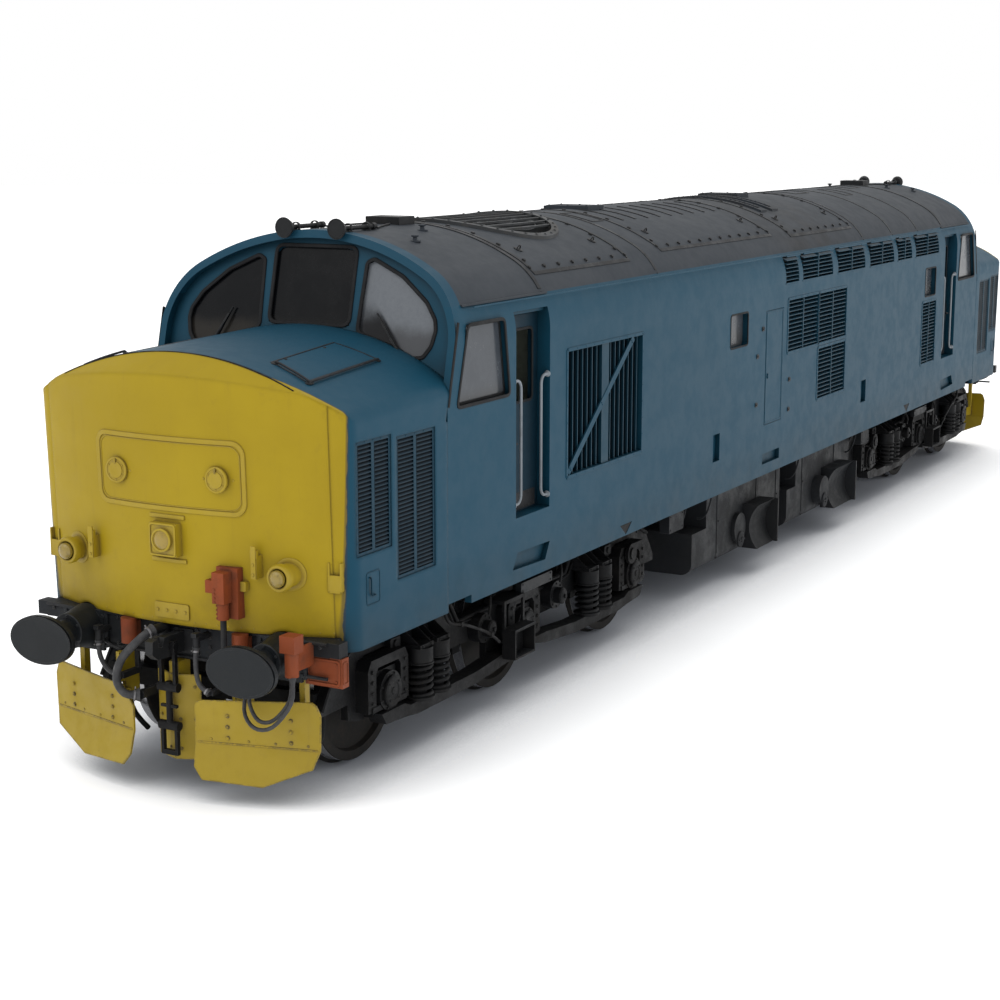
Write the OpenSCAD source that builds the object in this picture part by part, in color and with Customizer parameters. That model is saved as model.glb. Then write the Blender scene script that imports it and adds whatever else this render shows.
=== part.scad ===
/* [Overall] */
// Length over the buffer faces
loco_len = 18745; // [18000:5:19500]
// Width over the body sides
body_w = 2706; // [2640:2:2760]
// Height of the roof crown above the rail
roof_top = 3875; // [3850:5:3900]
// Depth of the wheel flanges below the rail level
flange_depth = 30; // [26:1:32]

/* [Body] */
// Height of the bottom edge of the body sides above the rail
skirt_z = 1085; // [1070:5:1110]
// Thickness of the body sides and roof
wall = 60; // [50:2:70]
// Radius of the cantrail curve between side and roof
cant_r = 620; // [600:5:640]
// Height above the rail where the cantrail curve starts
cant_z = 3060; // [3040:5:3080]
// Height of the line between side sheet and roof sheet
roof_line = 3350; // [3330:5:3380]
// Half length of the body sides, to the cab fronts
side_half = 7400; // [7380:5:7420]
// Half length of the main roof between the cab roofs
roof_half = 5750; // [5700:10:5780]

/* [Noses] */
// Distance from the middle to the nose face
nose_x = 8985; // [8960:5:9000]
// Height of the nose crown above the rail
nose_crown = 3115; // [3100:5:3140]
// Height of the bottom edge of the nose face
nose_bottom = 1190; // [1170:5:1210]

/* [Windows and doors] */
// Height of the cab door sill
door_sill = 1610; // [1600:5:1640]
// Height of the top of the cab doorway
door_top = 3240; // [3200:5:3250]
// Rear edge of the cab doorway
door_x0 = 5750; // [5740:5:5760]
// Front edge of the cab doorway
door_x1 = 6330; // [6320:5:6340]
// Thickness of the doors
door_t = 40; // [36:1:44]
// Thickness of the window glass
glass_t = 10; // [8:1:14]

/* [Running gear] */
// Distance from the middle to each bogie pivot
pivot_x = 5700; // [5660:5:5720]
// Spacing of the axles in a bogie
axle_gap = 2150; // [2145:5:2155]
// Radius of the wheel tread
wheel_r = 571.5; // [565:0.5:572]
// Distance from the middle to the inner face of a wheel
wheel_in = 682; // [680:1:684]
// Radius of the axle
axle_r = 85; // [80:1:90]
// Radius of the bogie pivot pin
pivot_r = 90; // [80:1:100]

/* [Buffers and couplings] */
// Distance from the middle to each buffer
buffer_y = 870; // [860:5:875]
// Height of the buffers above the rail
buffer_z = 1054; // [1050:1:1060]
// Width of the oval buffer head
buffer_w = 560; // [540:5:600]
// Height of the oval buffer head
buffer_h = 356; // [340:2:370]
// Radius of the hole in the draw hook
hook_hole_r = 30; // [28:0.5:32]

/* [Cooling fan] */
// Distance from the middle to the fan
fan_x = 4750; // [4700:10:4800]
// Outer radius of the fan opening
fan_r = 760; // [740:5:780]
// Number of fan blades
fan_blades = 8; // [6:1:10]

/* [Hidden] */
$fn = 64;
hw = body_w / 2;
// Centre of the cantrail curve and of the roof arc
cy = hw - cant_r;
hz = roof_top - cant_z;
roof_r = (cy * cy + hz * hz - cant_r * cant_r) / (2 * (hz - cant_r));
roof_cz = roof_top - roof_r;
tan_a = atan2(cant_z - roof_cz, cy);
// The cab front leans back by this angle
lean = atan(0.25);
lean_z = 2630;
// Nose cross-section: crown arc and shoulder radius
nose_R = 2555;
nose_r = 120;
nose_cz = nose_crown - nose_R;
nose_cy = hw - nose_r;
nose_sz = nose_cz + sqrt(pow(nose_R - nose_r, 2) - nose_cy * nose_cy);
// Nose plan: front arc and corner radius
plan_R = 3300;
plan_r = 140;
plan_cx = nose_x - plan_R;
plan_cy = hw - plan_r;
plan_sx = plan_cx + sqrt(pow(plan_R - plan_r, 2) - plan_cy * plan_cy);
beam_x = 8860;
steel = [0.09, 0.09, 0.10];
blue = [0.09, 0.20, 0.29];
roofgrey = [0.16, 0.17, 0.18];
yellow = [0.72, 0.56, 0.08];
orange = [0.62, 0.20, 0.08];

// ---- placing helpers ----
module up() translate([0, 0, flange_depth]) children();
module ends() { children(); mirror([1, 0, 0]) children(); }
module sides() { children(); mirror([0, 1, 0]) children(); }
module turned() { children(); rotate([0, 0, 180]) children(); }
module box(x0, x1, y0, y1, z0, z1) translate([x0, y0, z0]) cube([x1 - x0, y1 - y0, z1 - z0]);
module along_x(x0, x1) translate([x0, 0, 0]) rotate([90, 0, 90]) linear_extrude(x1 - x0) children();
module along_y(y0, y1) translate([0, y1, 0]) rotate([90, 0, 0]) linear_extrude(y1 - y0) children();
module ycyl(r, y0, y1, x = 0, z = 0) translate([x, y1, z]) rotate([90, 0, 0]) cylinder(r = r, h = y1 - y0);
module xcyl(r, x0, x1, y = 0, z = 0) translate([x0, y, z]) rotate([0, 90, 0]) cylinder(r = r, h = x1 - x0);
module zcyl(r, z0, z1, x = 0, y = 0) translate([x, y, z0]) cylinder(r = r, h = z1 - z0);
// Rounded polygon outline in YZ or XZ from circles at the corners
module rrect(x0, x1, y0, y1, r) {
  translate([x0 + r, y0]) square([x1 - x0 - 2 * r, y1 - y0]);
  translate([x0, y0 + r]) square([x1 - x0, y1 - y0 - 2 * r]);
  for (x = [x0 + r, x1 - r]) for (y = [y0 + r, y1 - r]) translate([x, y]) circle(r);
}

// ---- body section ----
// Outline of the body across its width, t inside the outer face
module body2d(t = 0) {
  intersection() {
    translate([0, roof_cz]) circle(r = roof_r - t, $fn = 256);
    polygon([[0, roof_cz], [4000 * cos(tan_a), roof_cz + 4000 * sin(tan_a)],
             [-4000 * cos(tan_a), roof_cz + 4000 * sin(tan_a)]]);
  }
  for (s = [-1, 1]) translate([s * cy, cant_z]) circle(r = cant_r - t, $fn = 128);
  translate([-(hw - t), 500]) square([2 * (hw - t), cant_z - 500]);
}
module body_shell(x0, x1, t0 = 0, t1 = wall) difference() {
  along_x(x0, x1) body2d(t0);
  along_x(x0 - 10, x1 + 10) body2d(t1);
}
// Space in front of the leaning cab front, moved back by d
module front_cut(d = 0) translate([side_half - d, -2000, lean_z]) rotate([0, -lean, 0])
  translate([0, 0, -700]) cube([2500, 4000, 3000]);
module front_cut_low(d = 0) translate([side_half - d, -2000, 0]) cube([2500, 4000, lean_z]);

// ---- nose shape ----
module nose2d(t) {
  intersection() {
    translate([0, nose_cz]) circle(r = nose_R - t, $fn = 256);
    polygon([[0, nose_cz], [4000 * nose_cy / (nose_R - nose_r), nose_cz + 4000 * (nose_sz - nose_cz) / (nose_R - nose_r)],
             [-4000 * nose_cy / (nose_R - nose_r), nose_cz + 4000 * (nose_sz - nose_cz) / (nose_R - nose_r)]]);
  }
  for (s = [-1, 1]) translate([s * nose_cy, nose_sz]) circle(r = nose_r - t, $fn = 64);
  translate([-(hw - t), 900]) square([2 * (hw - t), nose_sz - 900]);
}
module nose_plan(t) {
  intersection() {
    translate([plan_cx, 0]) circle(r = plan_R - t, $fn = 256);
    translate([7000, -plan_cy]) square([2300, 2 * plan_cy]);
  }
  for (s = [-1, 1]) translate([plan_sx, s * plan_cy]) circle(r = plan_r - t, $fn = 64);
  translate([7000, -(hw - t)]) square([plan_sx - 7000, 2 * (hw - t)]);
}
module nose_body(t = 0) intersection() {
  translate([8850, 0, 0]) rotate([0, 1.63, 0]) translate([-8850, 0, 0]) along_x(6900, 9400) nose2d(t);
  nose_front(t);
  translate([8850, 0, nose_crown]) rotate([0, 40, 0]) translate([-3500, 0, -3100]) rotate([0, 90, 0]) cylinder(r = 3100 - t, h = 5000, $fn = 256);
}
// The nose front alone, for cutting fittings to its curve
module nose_front(t = 0) translate([nose_x, 0, 2000]) rotate([0, 2.0, 0]) translate([-nose_x, 0, -2000]) translate([0, 0, 500]) linear_extrude(3500) nose_plan(t);
module nose_grille_cuts() sides() {
  up() box(8190, 8640, hw - 35, hw + 10, 1750, 2550);
  up() box(7585, 8120, hw - 35, hw + 10, 1490, 2520);
}
module one_nose() difference() {
  up() difference() {
    intersection() { nose_body(0); box(6900, 9400, -1500, 1500, skirt_z, 3400); }
    intersection() { nose_body(wall); box(6900, 9400, -1400, 1400, skirt_z - 10, 3400); }
    box(8800, 9400, -1500, 1500, 0, nose_bottom);
    box(8690, 8810, -1255, 1255, 0, nose_bottom);
    sides() xcyl(168, 8700, 9100, buffer_y, buffer_z);
    box(6000, side_half, -1500, 1500, 0, lean_z);
    translate([side_half, -2000, lean_z]) rotate([0, -lean, 0]) translate([-2000, 0, -100]) cube([1930, 4000, 1500]);
    sides() translate([side_half, hw - wall, lean_z]) rotate([0, -lean, 0]) translate([-2000, 0, -100]) cube([2000, 200, 1500]);
  }
  nose_grille_cuts();
}

// ---- side openings, on the left side ----
module cab_window2d(g = 0) polygon([[6430 + g, 2610 + g], [7260 - 1.1 * g, 2610 + g], [7090 - 0.6 * g, 3210 - g], [6520 + 0.6 * g, 3210 - g]]);
module side_cuts(glass = false) {
  // body windows
  along_y(hw - 200, hw + 50) rrect(1370, 1840, 2500, 2830, 45);
  along_y(hw - 200, hw + 50) rrect(-5340, -4870, 2500, 2860, 45);
  ends() along_y(hw - 300, hw + 50) cab_window2d();
}
grilles = [[3950, 5420, 1810, 2840], [-740, 200, 2310, 2850], [-1700, -780, 2310, 2850], [-1700, -780, 1690, 2240], [-5390, -4790, 1640, 2420]];
cants = [[-95, 300], [-1200, -220], [-2350, -1380], [-3480, -2540], [-4230, -3640], [-5440, -4400]];
module left_side_solid() difference() {
  up() {
    difference() {
      intersection() {
        body_shell(-side_half, side_half);
        box(-side_half, side_half, 0, 2000, skirt_z, roof_line);
      }
      ends() front_cut();
      side_cuts();
      for (g = grilles) box(g[0], g[1], hw - 200, hw + 50, g[2], g[3]);
      for (c = cants) box(c[0], c[1], hw - 300, hw + 50, 3040, 3310);
      ends() box(door_x0, door_x1, hw - 300, hw + 50, door_sill, door_top);
      box(355, 860, hw - 200, hw + 50, 1610, 2795);
      // step recesses
      for (s = [[2070, 2240, 1430, 1700], [-2530, -2350, 1445, 1705], [380, 880, 1200, 1310]]) box(s[0], s[1], hw - 45, hw + 50, s[2], s[3]);
      ends() along_y(hw - 45, hw + 50) polygon([[5820, 1180], [6380, 1200], [6300, 1330], [5740, 1320]]);
      // jacking marks
      ends() along_y(hw - 8, hw + 50) polygon([[4245, 1092], [4370, 1190], [4120, 1190]]);
      // spring notch
      ends() box(7050, 7480, hw - 200, hw + 50, 1000, 1150);
    }
    // door jambs
    ends() difference() {
      box(door_x0 - 50, door_x1 + 50, 1180, hw - wall, door_sill - 50, 3245);
      box(door_x0, door_x1, 1100, hw, door_sill, 3210);
    }
    // backs of the step recesses
    for (s = [[2040, 2270, 1400, 1730], [-2560, -2320, 1415, 1735], [350, 910, 1170, 1340]]) box(s[0], s[1], hw - wall - 20, hw - wall, s[2], s[3]);
  }
}
module left_body_side() color(blue) left_side_solid();
module right_body_side() color(blue) mirror([0, 1, 0]) left_side_solid();

module main_roof() color(roofgrey) up() difference() {
  intersection() {
    body_shell(-roof_half, roof_half);
    box(-roof_half, roof_half, -2000, 2000, roof_line, 4200);
  }
  zcyl(fan_r + 20, 3000, 4200, fan_x);
  for (x = [-560, -900]) box(x - 40, x + 40, -700, 700, 3600, 4200);
}
module cab_roofs() color(roofgrey) up() ends() difference() {
  intersection() {
    body_shell(roof_half, side_half);
    box(roof_half, side_half, -2000, 2000, roof_line, 4200);
  }
  front_cut();
}

// ---- cab fronts ----
k = 1 / cos(lean);
module panes2d(g = 0) {
  translate([0, 0]) polygon([[-370 + g, 520 + g], [370 - g, 520 + g], [365 - g, 1065 - g], [330 - g, 1105 - g], [180, 1125 - g], [-180, 1125 - g], [-330 + g, 1105 - g], [-365 + g, 1065 - g]]);
  for (s = [0, 1]) mirror([s, 0]) polygon([[450 + g, 500 + g * 1.3], [470 + g, 1010 - g], [530 + g * 0.6, 1040 - g * 1.2], [800, 915 - g * 1.3], [1030 - g, 730 - g * 1.2], [1120 - g, 600 - g],
    [1135 - g, 520], [1110 - g, 400], [1050 - g, 315 + g], [950, 302 + g * 1.2], [830, 365 + g * 1.4], [480 + g, 465 + g * 1.3]]);
}
// Places a YZ drawing on the leaning plane, d behind the front rim
module pane_glass() translate([side_half - 200, 0, lean_z]) rotate([0, -lean, 0]) translate([89, 0, 0]) rotate([90, 0, 90]) linear_extrude(glass_t) panes2d();
module on_lean(d, h) translate([side_half - d, 0, lean_z]) rotate([0, -lean, 0]) rotate([90, 0, 90]) linear_extrude(h) children();
module one_cab_front() up() difference() {
  intersection() {
    along_x(6900, side_half) body2d(wall);
    translate([side_half, -1400, lean_z]) rotate([0, -lean, 0]) translate([-125, 0, -800]) cube([50, 2800, 2200]);
  }
  on_lean(200, 300) panes2d();
  box(6900, 7600, -1500, 1500, 0, 2500);
  difference() { nose_body(0); translate([side_half, -2000, lean_z]) rotate([0, -lean, 0]) translate([-2000, 0, -400]) cube([1930, 4000, 1700]); }
}
module cab_fronts() color(blue) ends() one_cab_front();

module noses() color(yellow) ends() one_nose();

module window_glass() color([0.12, 0.13, 0.14, 0.5]) up() {
  ends() pane_glass();
  sides() {
    along_y(hw - wall - glass_t, hw - wall) rrect(1350, 1860, 2480, 2850, 45);
    along_y(hw - wall - glass_t, hw - wall) rrect(-5360, -4850, 2480, 2880, 45);
    ends() along_y(hw - wall - glass_t, hw - wall) polygon([[6410, 2590], [7255, 2590], [7150, 3040], [6490, 3040]]);
  }
}

module grille_panel(x0, x1, z0, z1, nx) difference() {
  box(x0 - 25, x1 + 25, hw - wall - 30, hw - wall, z0 - 25, z1 + 25);
  box(x0 + 30, x1 - 30, hw - wall - 22, hw - wall + 5, z0 + 30, z1 - 30);
}
module body_grilles() color(blue) up() {
  sides() {
    for (g = grilles) grille_panel(g[0], g[1], g[2], g[3]);
    // radiator slats, centre post and brace
    for (i = [0:15]) box(4010 + i * 91, 4022 + i * 91, hw - wall - 22, hw - 20, 1812, 2838);
    box(4620, 4760, hw - wall - 22, hw - 8, 1812, 2838);
    for (g = cants) intersection() { body_shell(g[0] - 20, g[1] + 20, wall, wall + 20); box(-6000, 1000, 0, 2000, 3050, 3300); }
  }
}
module nose_grilles() color(blue) up() ends() sides() {
  for (g = [[8190, 8640, 1750, 2550], [7585, 8120, 1490, 2520]]) {
    difference() {
      box(g[0] + 3, g[1] - 3, hw - 35, hw - 7, g[2] + 3, g[3] - 3);
      for (s = [0, 1]) box(g[0] + 25 + s * (g[1] - g[0]) / 2, (g[0] + g[1]) / 2 - 12 + s * ((g[1] - g[0]) / 2 - 13), hw - 22, hw + 5, g[2] + 25, g[3] - 25);
    }
  }
}

module roof_band(t0, t1) difference() {
  along_x(fan_x - 1000, fan_x + 1000) body2d(t0);
  along_x(fan_x - 1010, fan_x + 1010) body2d(t1);
}
module fan_grille() color(steel) up() {
  // raised rim, curved like the roof
  difference() {
    intersection() { zcyl(fan_r + 60, 3500, 4000, fan_x); roof_band(-28, 0); }
    zcyl(fan_r, 3400, 4100, fan_x);
  }
  // cowl through the roof
  difference() {
    intersection() { zcyl(fan_r + 19, 3380, 4000, fan_x); along_x(fan_x - 1000, fan_x + 1000) body2d(-28); }
    zcyl(fan_r, 3300, 4100, fan_x);
  }
  // bars over the fan
  intersection() {
    roof_band(-22, -6);
    union() for (y = [-600:100:600]) let (h = sqrt(fan_r * fan_r - y * y) + 6) box(fan_x - h, fan_x + h, y - 7, y + 7, 3500, 4000);
  }
  intersection() {
    roof_band(-6, 14);
    for (a = [45, 135]) translate([fan_x, 0, 3500]) rotate([0, 0, a]) translate([-fan_r - 4, -22, 0]) cube([2 * fan_r + 8, 44, 500]);
  }
  // motor bridge under the rotor
  for (a = [0, 90]) translate([fan_x, 0, 3400]) rotate([0, 0, a]) translate([-fan_r - 10, -30, 0]) cube([2 * fan_r + 20, 60, 60]);
  zcyl(150, 3400, 3480, fan_x);
  zcyl(30, 3480, 3540, fan_x);
}
module radiator_fan() color([0.35, 0.36, 0.37]) up() translate([fan_x, 0, 0]) {
  difference() { zcyl(140, 3500, 3660); zcyl(30.06, 3400, 3540.06); }
  for (i = [0:fan_blades - 1]) rotate([0, 0, i * 360 / fan_blades]) translate([130, 0, 3570]) rotate([28, 0, 0]) translate([0, -100, -8]) cube([600, 200, 16]);
}

module engine_block() color([0.30, 0.31, 0.32]) up() {
  box(-2300, 2300, -620, 620, 1300, 3050);
}

module cab_bulkheads() color([0.45, 0.47, 0.42]) up() ends() {
  difference() {
    intersection() { along_x(5600, 5650) body2d(wall); box(5500, 5700, -1400, 1400, 1300, 3900); }
    box(5500, 5800, -1400, 1400, 0, 1300);
  }
  // raised cab floor and the wall under the windscreens
  box(5650, 7330, -1170, 1170, 1540, 1580);
  box(7330, 7370, -1290, 1290, 1300, 2495);
  box(5650, 5700, -1170, 1170, 1300, 1540);
}
module cab_desks() color([0.22, 0.24, 0.24]) up() turned() {
  box(6950, 7330, 200, 1160, 1580, 2330);
  box(6870, 6950, 250, 1110, 2180, 2330);
  box(6950, 7330, -1160, -200, 1580, 2330);
  translate([7100, 620, 2330]) rotate([0, -25, 0]) box(-30, 30, -320, 320, -10, 160);
}
module one_seat() {
  zcyl(45, 1600, 1900, 6480, 590);
  zcyl(150, 1580, 1600, 6480, 590);
  along_y(390, 790) polygon([[6300, 1900], [6700, 1900], [6730, 1930], [6730, 1980], [6700, 2010], [6330, 2010], [6245, 2560], [6215, 2590], [6180, 2590], [6165, 2560], [6262, 1930]]);
}
module cab_seats() color([0.12, 0.11, 0.10]) up() turned() { one_seat(); mirror([0, 1, 0]) one_seat(); }

// ---- underframe ----
module underframe() color(steel) up() {
  difference() {
    union() {
      box(-side_half, side_half, -(hw - wall), hw - wall, 1250, 1300);
      ends() intersection() { box(side_half, 8685, -1400, 1400, 1250, 1300); translate([0, 0, 1250]) linear_extrude(50) nose_plan(wall + 30); }
      ends() sides() box(8755, beam_x, 1250, 1335, 1085, 1188);
      ends() {
        box(8700, beam_x, -1250, 1250, 920, 1188);
        box(8560, 8700, -500, 500, 1100, 1250);
        box(pivot_x - 380, pivot_x + 380, -560, 560, 1020, 1250);
        for (s = [-1, 1]) box(2900, 8700, s * 325 - 50, s * 325 + 50, 1130, 1250);
      }
      // ribs that carry the skirts
      sides() for (x = [-3200, -620, 1900, 2600, 3200]) box(x - 15, x + 15, 1000, hw - wall, 1110, 1250);
    }
    ends() zcyl(pivot_r + 0.05, 900, 1245, pivot_x);
    sides() box(349, 911, hw - wall - 21, hw, 1240, 1310);
    ends() sides() box(8690, beam_x + 1, 1010, 1260, 900, 1080);
  }
}
module tank2d(w, z0, z1, r) {
  translate([-w, z0 + r]) square([2 * w, z1 - z0 - r]);
  translate([-w + r, z0]) square([2 * (w - r), r + 5]);
  for (s = [-1, 1]) translate([s * (w - r), z0 + r]) circle(r);
}
module underslung_tanks() color(steel) up() {
  along_x(-360, 2120) tank2d(1100, 240, 661, 120);
  box(-360, 1750, -1099, 1099, 660, 1250);
  along_x(-2750, -600) tank2d(1100, 240, 661, 120);
  box(-2750, -880, -1099, 1099, 660, 1250);
  sides() {
    ycyl(160, 1090, 1150, 930, 520);
    ycyl(160, 1090, 1210, -1560, 520);
  }
}
module tank_saddles() color(steel) up() sides() {
  for (b = [[250, 750], [-2400, -1750]]) difference() {
    box(b[0], b[1], 1100, 1320, 270, 740);
    xcyl(330, b[0] + 25, b[1] + 10, 1510, 500);
  }
}

function oval(w, h, n) = [for (i = [0:n - 1]) [w / 2 * cos(360 * i / n), h / 2 * sin(360 * i / n)]];
module one_buffer() translate([0, buffer_y, buffer_z]) {
  translate([beam_x, 0, 0]) rotate([0, 90, 0]) cylinder(r1 = 165, r2 = 125, h = 210, $fn = 64);
  box(beam_x, beam_x + 25, -170, 170, -170, 130);
  xcyl(95, beam_x + 210, loco_len / 2 - 40);
  along_x(loco_len / 2 - 55, loco_len / 2 - 18) polygon(oval(buffer_w, buffer_h, 48));
  along_x(loco_len / 2 - 18, loco_len / 2) polygon(oval(buffer_w - 36, buffer_h - 36, 48));
}
module buffers() color([0.13, 0.14, 0.16]) up() ends() sides() one_buffer();

// ---- snowploughs ----
// cut is 1 where the blade's inner top corner is cut away for the brake hose
module side_plough(cut) {
  // swept blade with its lower half folded forward
  translate([9085, 270, 0]) rotate([0, 0, 14.2]) {
    translate([0, 0, 400]) rotate([90, 0, 90]) linear_extrude(14) polygon([[0, 0], [930, 0], [936, 255], [905, 330], [868, 352], [60 + 60 * cut, 312], [18 + 90 * cut, 300], [0, 270 - 85 * cut]]);
    translate([0, 0, 400]) rotate([0, -14, 0]) translate([0, 0, -262]) rotate([90, 0, 90]) linear_extrude(14) polygon([[66, 0], [520, -20], [880, 130], [930, 266], [0, 266], [0, 90]]);
    box(-150, 0, 230, 260, 420, 640);
    box(-150, 0, 700, 730, 420, 640);
  }
  box(8740, 8900, 500, 530, 560, 700);
  box(8740, 8960, 500, 530, 690, 920);
  box(8740, 8800, 960, 1005, 560, 920);
}
module centre_plough() {
  translate([8985, 0, 0]) for (s = [0, 1]) mirror([0, s, 0]) rotate([0, 0, 22]) box(-14, 0, 0, 205, 200, 830);
  box(8830, 8970, -40, 40, 700, 920);
}
module snowploughs() color(yellow) up() turned() { side_plough(0); mirror([0, 1, 0]) side_plough(1); centre_plough(); }

// ---- couplings ----
module one_hook() {
  difference() {
    union() {
      box(beam_x, 9090, -32, 32, buffer_z - 75, buffer_z + 75);
      along_y(-32, 32) polygon([[9090, buffer_z - 75], [9180, buffer_z - 70], [9240, buffer_z - 20], [9235, buffer_z + 70], [9185, buffer_z + 85], [9170, buffer_z + 20], [9130, buffer_z + 10], [9100, buffer_z + 75], [9090, buffer_z + 75]]);
      box(beam_x, beam_x + 18, -110, 110, buffer_z - 90, buffer_z + 90);
    }
    ycyl(hook_hole_r, -60, 60, 9030, buffer_z);
  }
  translate([9155, 0, buffer_z + 80]) rotate([0, 20, 0]) box(-12, 12, -20, 20, -40, 10);
}
module draw_hooks() color(steel) up() ends() one_hook();
// Screw coupling hung from the hook pin: shackle, screw and lower shackle
module one_coupling() translate([9030, 0, buffer_z]) {
  ycyl(hook_hole_r - 0.06, -75, 75);
  sides() {
    box(-26, 26, 48, 72, -40, 40);
    box(-17, 17, 48, 72, -310, -30);
  }
  translate([0, 0, -305]) {
    ycyl(34, -85, 85);
    zcyl(24, -300, 40);
    box(-12, 12, -70, 70, -150, -130);
    ycyl(34, -85, 85, 0, -285);
    sides() box(-17, 17, 50, 72, -480, -275);
    box(-17, 17, -72, 72, -500, -466);
  }
}
module front_coupling() color(steel) up() one_coupling();
module rear_coupling() color(steel) up() mirror([1, 0, 0]) one_coupling();

// ---- sockets, cocks and hoses ----
module socket_set() {
  // cable head on the nose face with its backing plate
  difference() {
    union() {
      box(8905, 8985, 410, 590, 1300, 1660);
      box(8905, 9080, 440, 540, 1420, 1640);
      box(8905, 9010, 330, 450, 1470, 1560);
    }
    nose_front();
  }
  zcyl(42, 1300, 1440, 9024, 490);
  // orange plug outside the buffer, on a bracket, with the junction box behind it
  box(8860, 9110, 1105, 1125, 1020, 1180);
  box(9090, 9200, 1080, 1200, 1180, 1300);
  zcyl(48, 1010, 1185, 9145, 1140);
  box(8760, 8840, 1040, 1345, 870, 1080);
  // two receptacles under the nose
  zcyl(60, 1000, 1185, 8930, -420);
  zcyl(60, 1000, 1185, 8930, 560);
  box(8860, 8935, -470, -370, 1040, 1160);
  box(8860, 8935, 510, 610, 1040, 1160);
}
module jumper_sockets() color(orange) up() turned() socket_set();
module elbow(x, y, z, r, drop) {
  xcyl(r, beam_x, x, y, z);
  sphere_at(x, y, z, r);
  zcyl(r, z - drop, z, x, y);
}
module sphere_at(x, y, z, r) translate([x, y, z]) sphere(r = r, $fn = 32);
module cocks() {
  elbow(8975, -670, 1060, 26, 70);
  box(8945, 9005, -692, -648, 1075, 1105);
  elbow(9000, 230, 1120, 26, 60);
  box(8970, 9030, 208, 252, 1135, 1165);
  // swan-neck brake pipe
  zcyl(36, 930, 1150, 8920, -110);
  xcyl(36, 8920, 9050, -110, 1150);
  sphere_at(8920, -110, 1150, 36);
  box(8860, 8905, -146, -112, 960, 1000);
  // dummy coupling that holds the end of the brake hose
  box(8830, 9040, -240, -210, 640, 700);
  box(8830, 8850, -240, -210, 690, 920);
  xcyl(36, 9040, 9075, -225, 670);
  // dummy couplings that park the air hoses
  box(8830, 9020, -448, -412, 748, 792);
  box(8830, 8850, -448, -412, 790, 920);
  box(8830, 9048, 362, 398, 740, 776);
  box(8830, 8850, 362, 398, 770, 920);
  // cable glands behind the buffer
  zcyl(34, 880, 980, 8930, 640);
  box(8860, 8935, 600, 680, 925, 985);
  zcyl(22, 1000, 1300, 9024, 490);
  box(8860, 9035, 470, 498, 985, 1015);
}
module pipe_cocks() color(steel) up() turned() cocks();

// Tubes follow a curve through hand-set points
function cr(a, b, c, d, t) = 0.5 * ((2 * b) + (c - a) * t + (2 * a - 5 * b + 4 * c - d) * t * t + (3 * b - a - 3 * c + d) * t * t * t);
function route(p, n) = let (m = len(p)) [for (i = [0:m - 2]) for (j = [0:n - 1]) let (a = p[max(i - 1, 0)], d = p[min(i + 2, m - 1)]) cr(a, p[i], p[i + 1], d, j / n), p[m - 1]];
function unit(v) = v / norm(v);
function frame_at(q, i) = let (n = len(q), t = unit(q[min(i + 1, n - 1)] - q[max(i - 1, 0)]), u = unit(cross(t, [0.31, 0.93, 0.17])), v = cross(t, u)) [u, v];
module tube(p, r, n = 2, s = 10) {
  q = route(p, n);
  m = len(q);
  polyhedron(
    points = [for (i = [0:m - 1]) let (f = frame_at(q, i)) for (j = [0:s - 1]) q[i] + r * cos(360 * j / s) * f[0] + r * sin(360 * j / s) * f[1]],
    faces = concat([[for (j = [0:s - 1]) j]], [[for (j = [0:s - 1]) (m - 1) * s + s - 1 - j]],
      [for (i = [0:m - 2]) for (j = [0:s - 1]) each [[i * s + j, (i + 1) * s + j, (i + 1) * s + (j + 1) % s], [i * s + j, (i + 1) * s + (j + 1) % s, i * s + (j + 1) % s]]]));
}
vac_pts = [[9050, -110, 1150], [9125, -150, 1115], [9170, -300, 950], [9165, -360, 790], [9140, -310, 685], [9075, -225, 670]];
air_l_pts = [[8975, -670, 990], [8985, -655, 880], [9010, -560, 790], [9030, -430, 770]];
air_r_pts = [[9000, 230, 1060], [9020, 235, 950], [9060, 290, 820], [9060, 380, 760]];
jc1_pts = [[9130, 1125, 1010], [9150, 1120, 840], [9170, 1000, 690], [9150, 860, 660], [9060, 720, 740], [8950, 650, 880]];
jc2_pts = [[9165, 1160, 1010], [9185, 1155, 830], [9205, 1010, 650], [9180, 840, 615], [9070, 680, 690], [8915, 622, 880]];
module front_vacuum_hose() color(steel) up() tube(vac_pts, 30, 2, 10);
module front_left_air_hose() color(steel) up() tube(air_l_pts, 18, 2, 8);
module front_right_air_hose() color(steel) up() tube(air_r_pts, 18, 2, 8);
module front_jumper_cable_1() color(steel) up() tube(jc1_pts, 14, 2, 8);
module front_jumper_cable_2() color(steel) up() tube(jc2_pts, 14, 2, 8);
module rear_vacuum_hose() rotate([0, 0, 180]) front_vacuum_hose();
module rear_left_air_hose() rotate([0, 0, 180]) front_left_air_hose();
module rear_right_air_hose() rotate([0, 0, 180]) front_right_air_hose();
module rear_jumper_cable_1() rotate([0, 0, 180]) front_jumper_cable_1();
module rear_jumper_cable_2() rotate([0, 0, 180]) front_jumper_cable_2();

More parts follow.
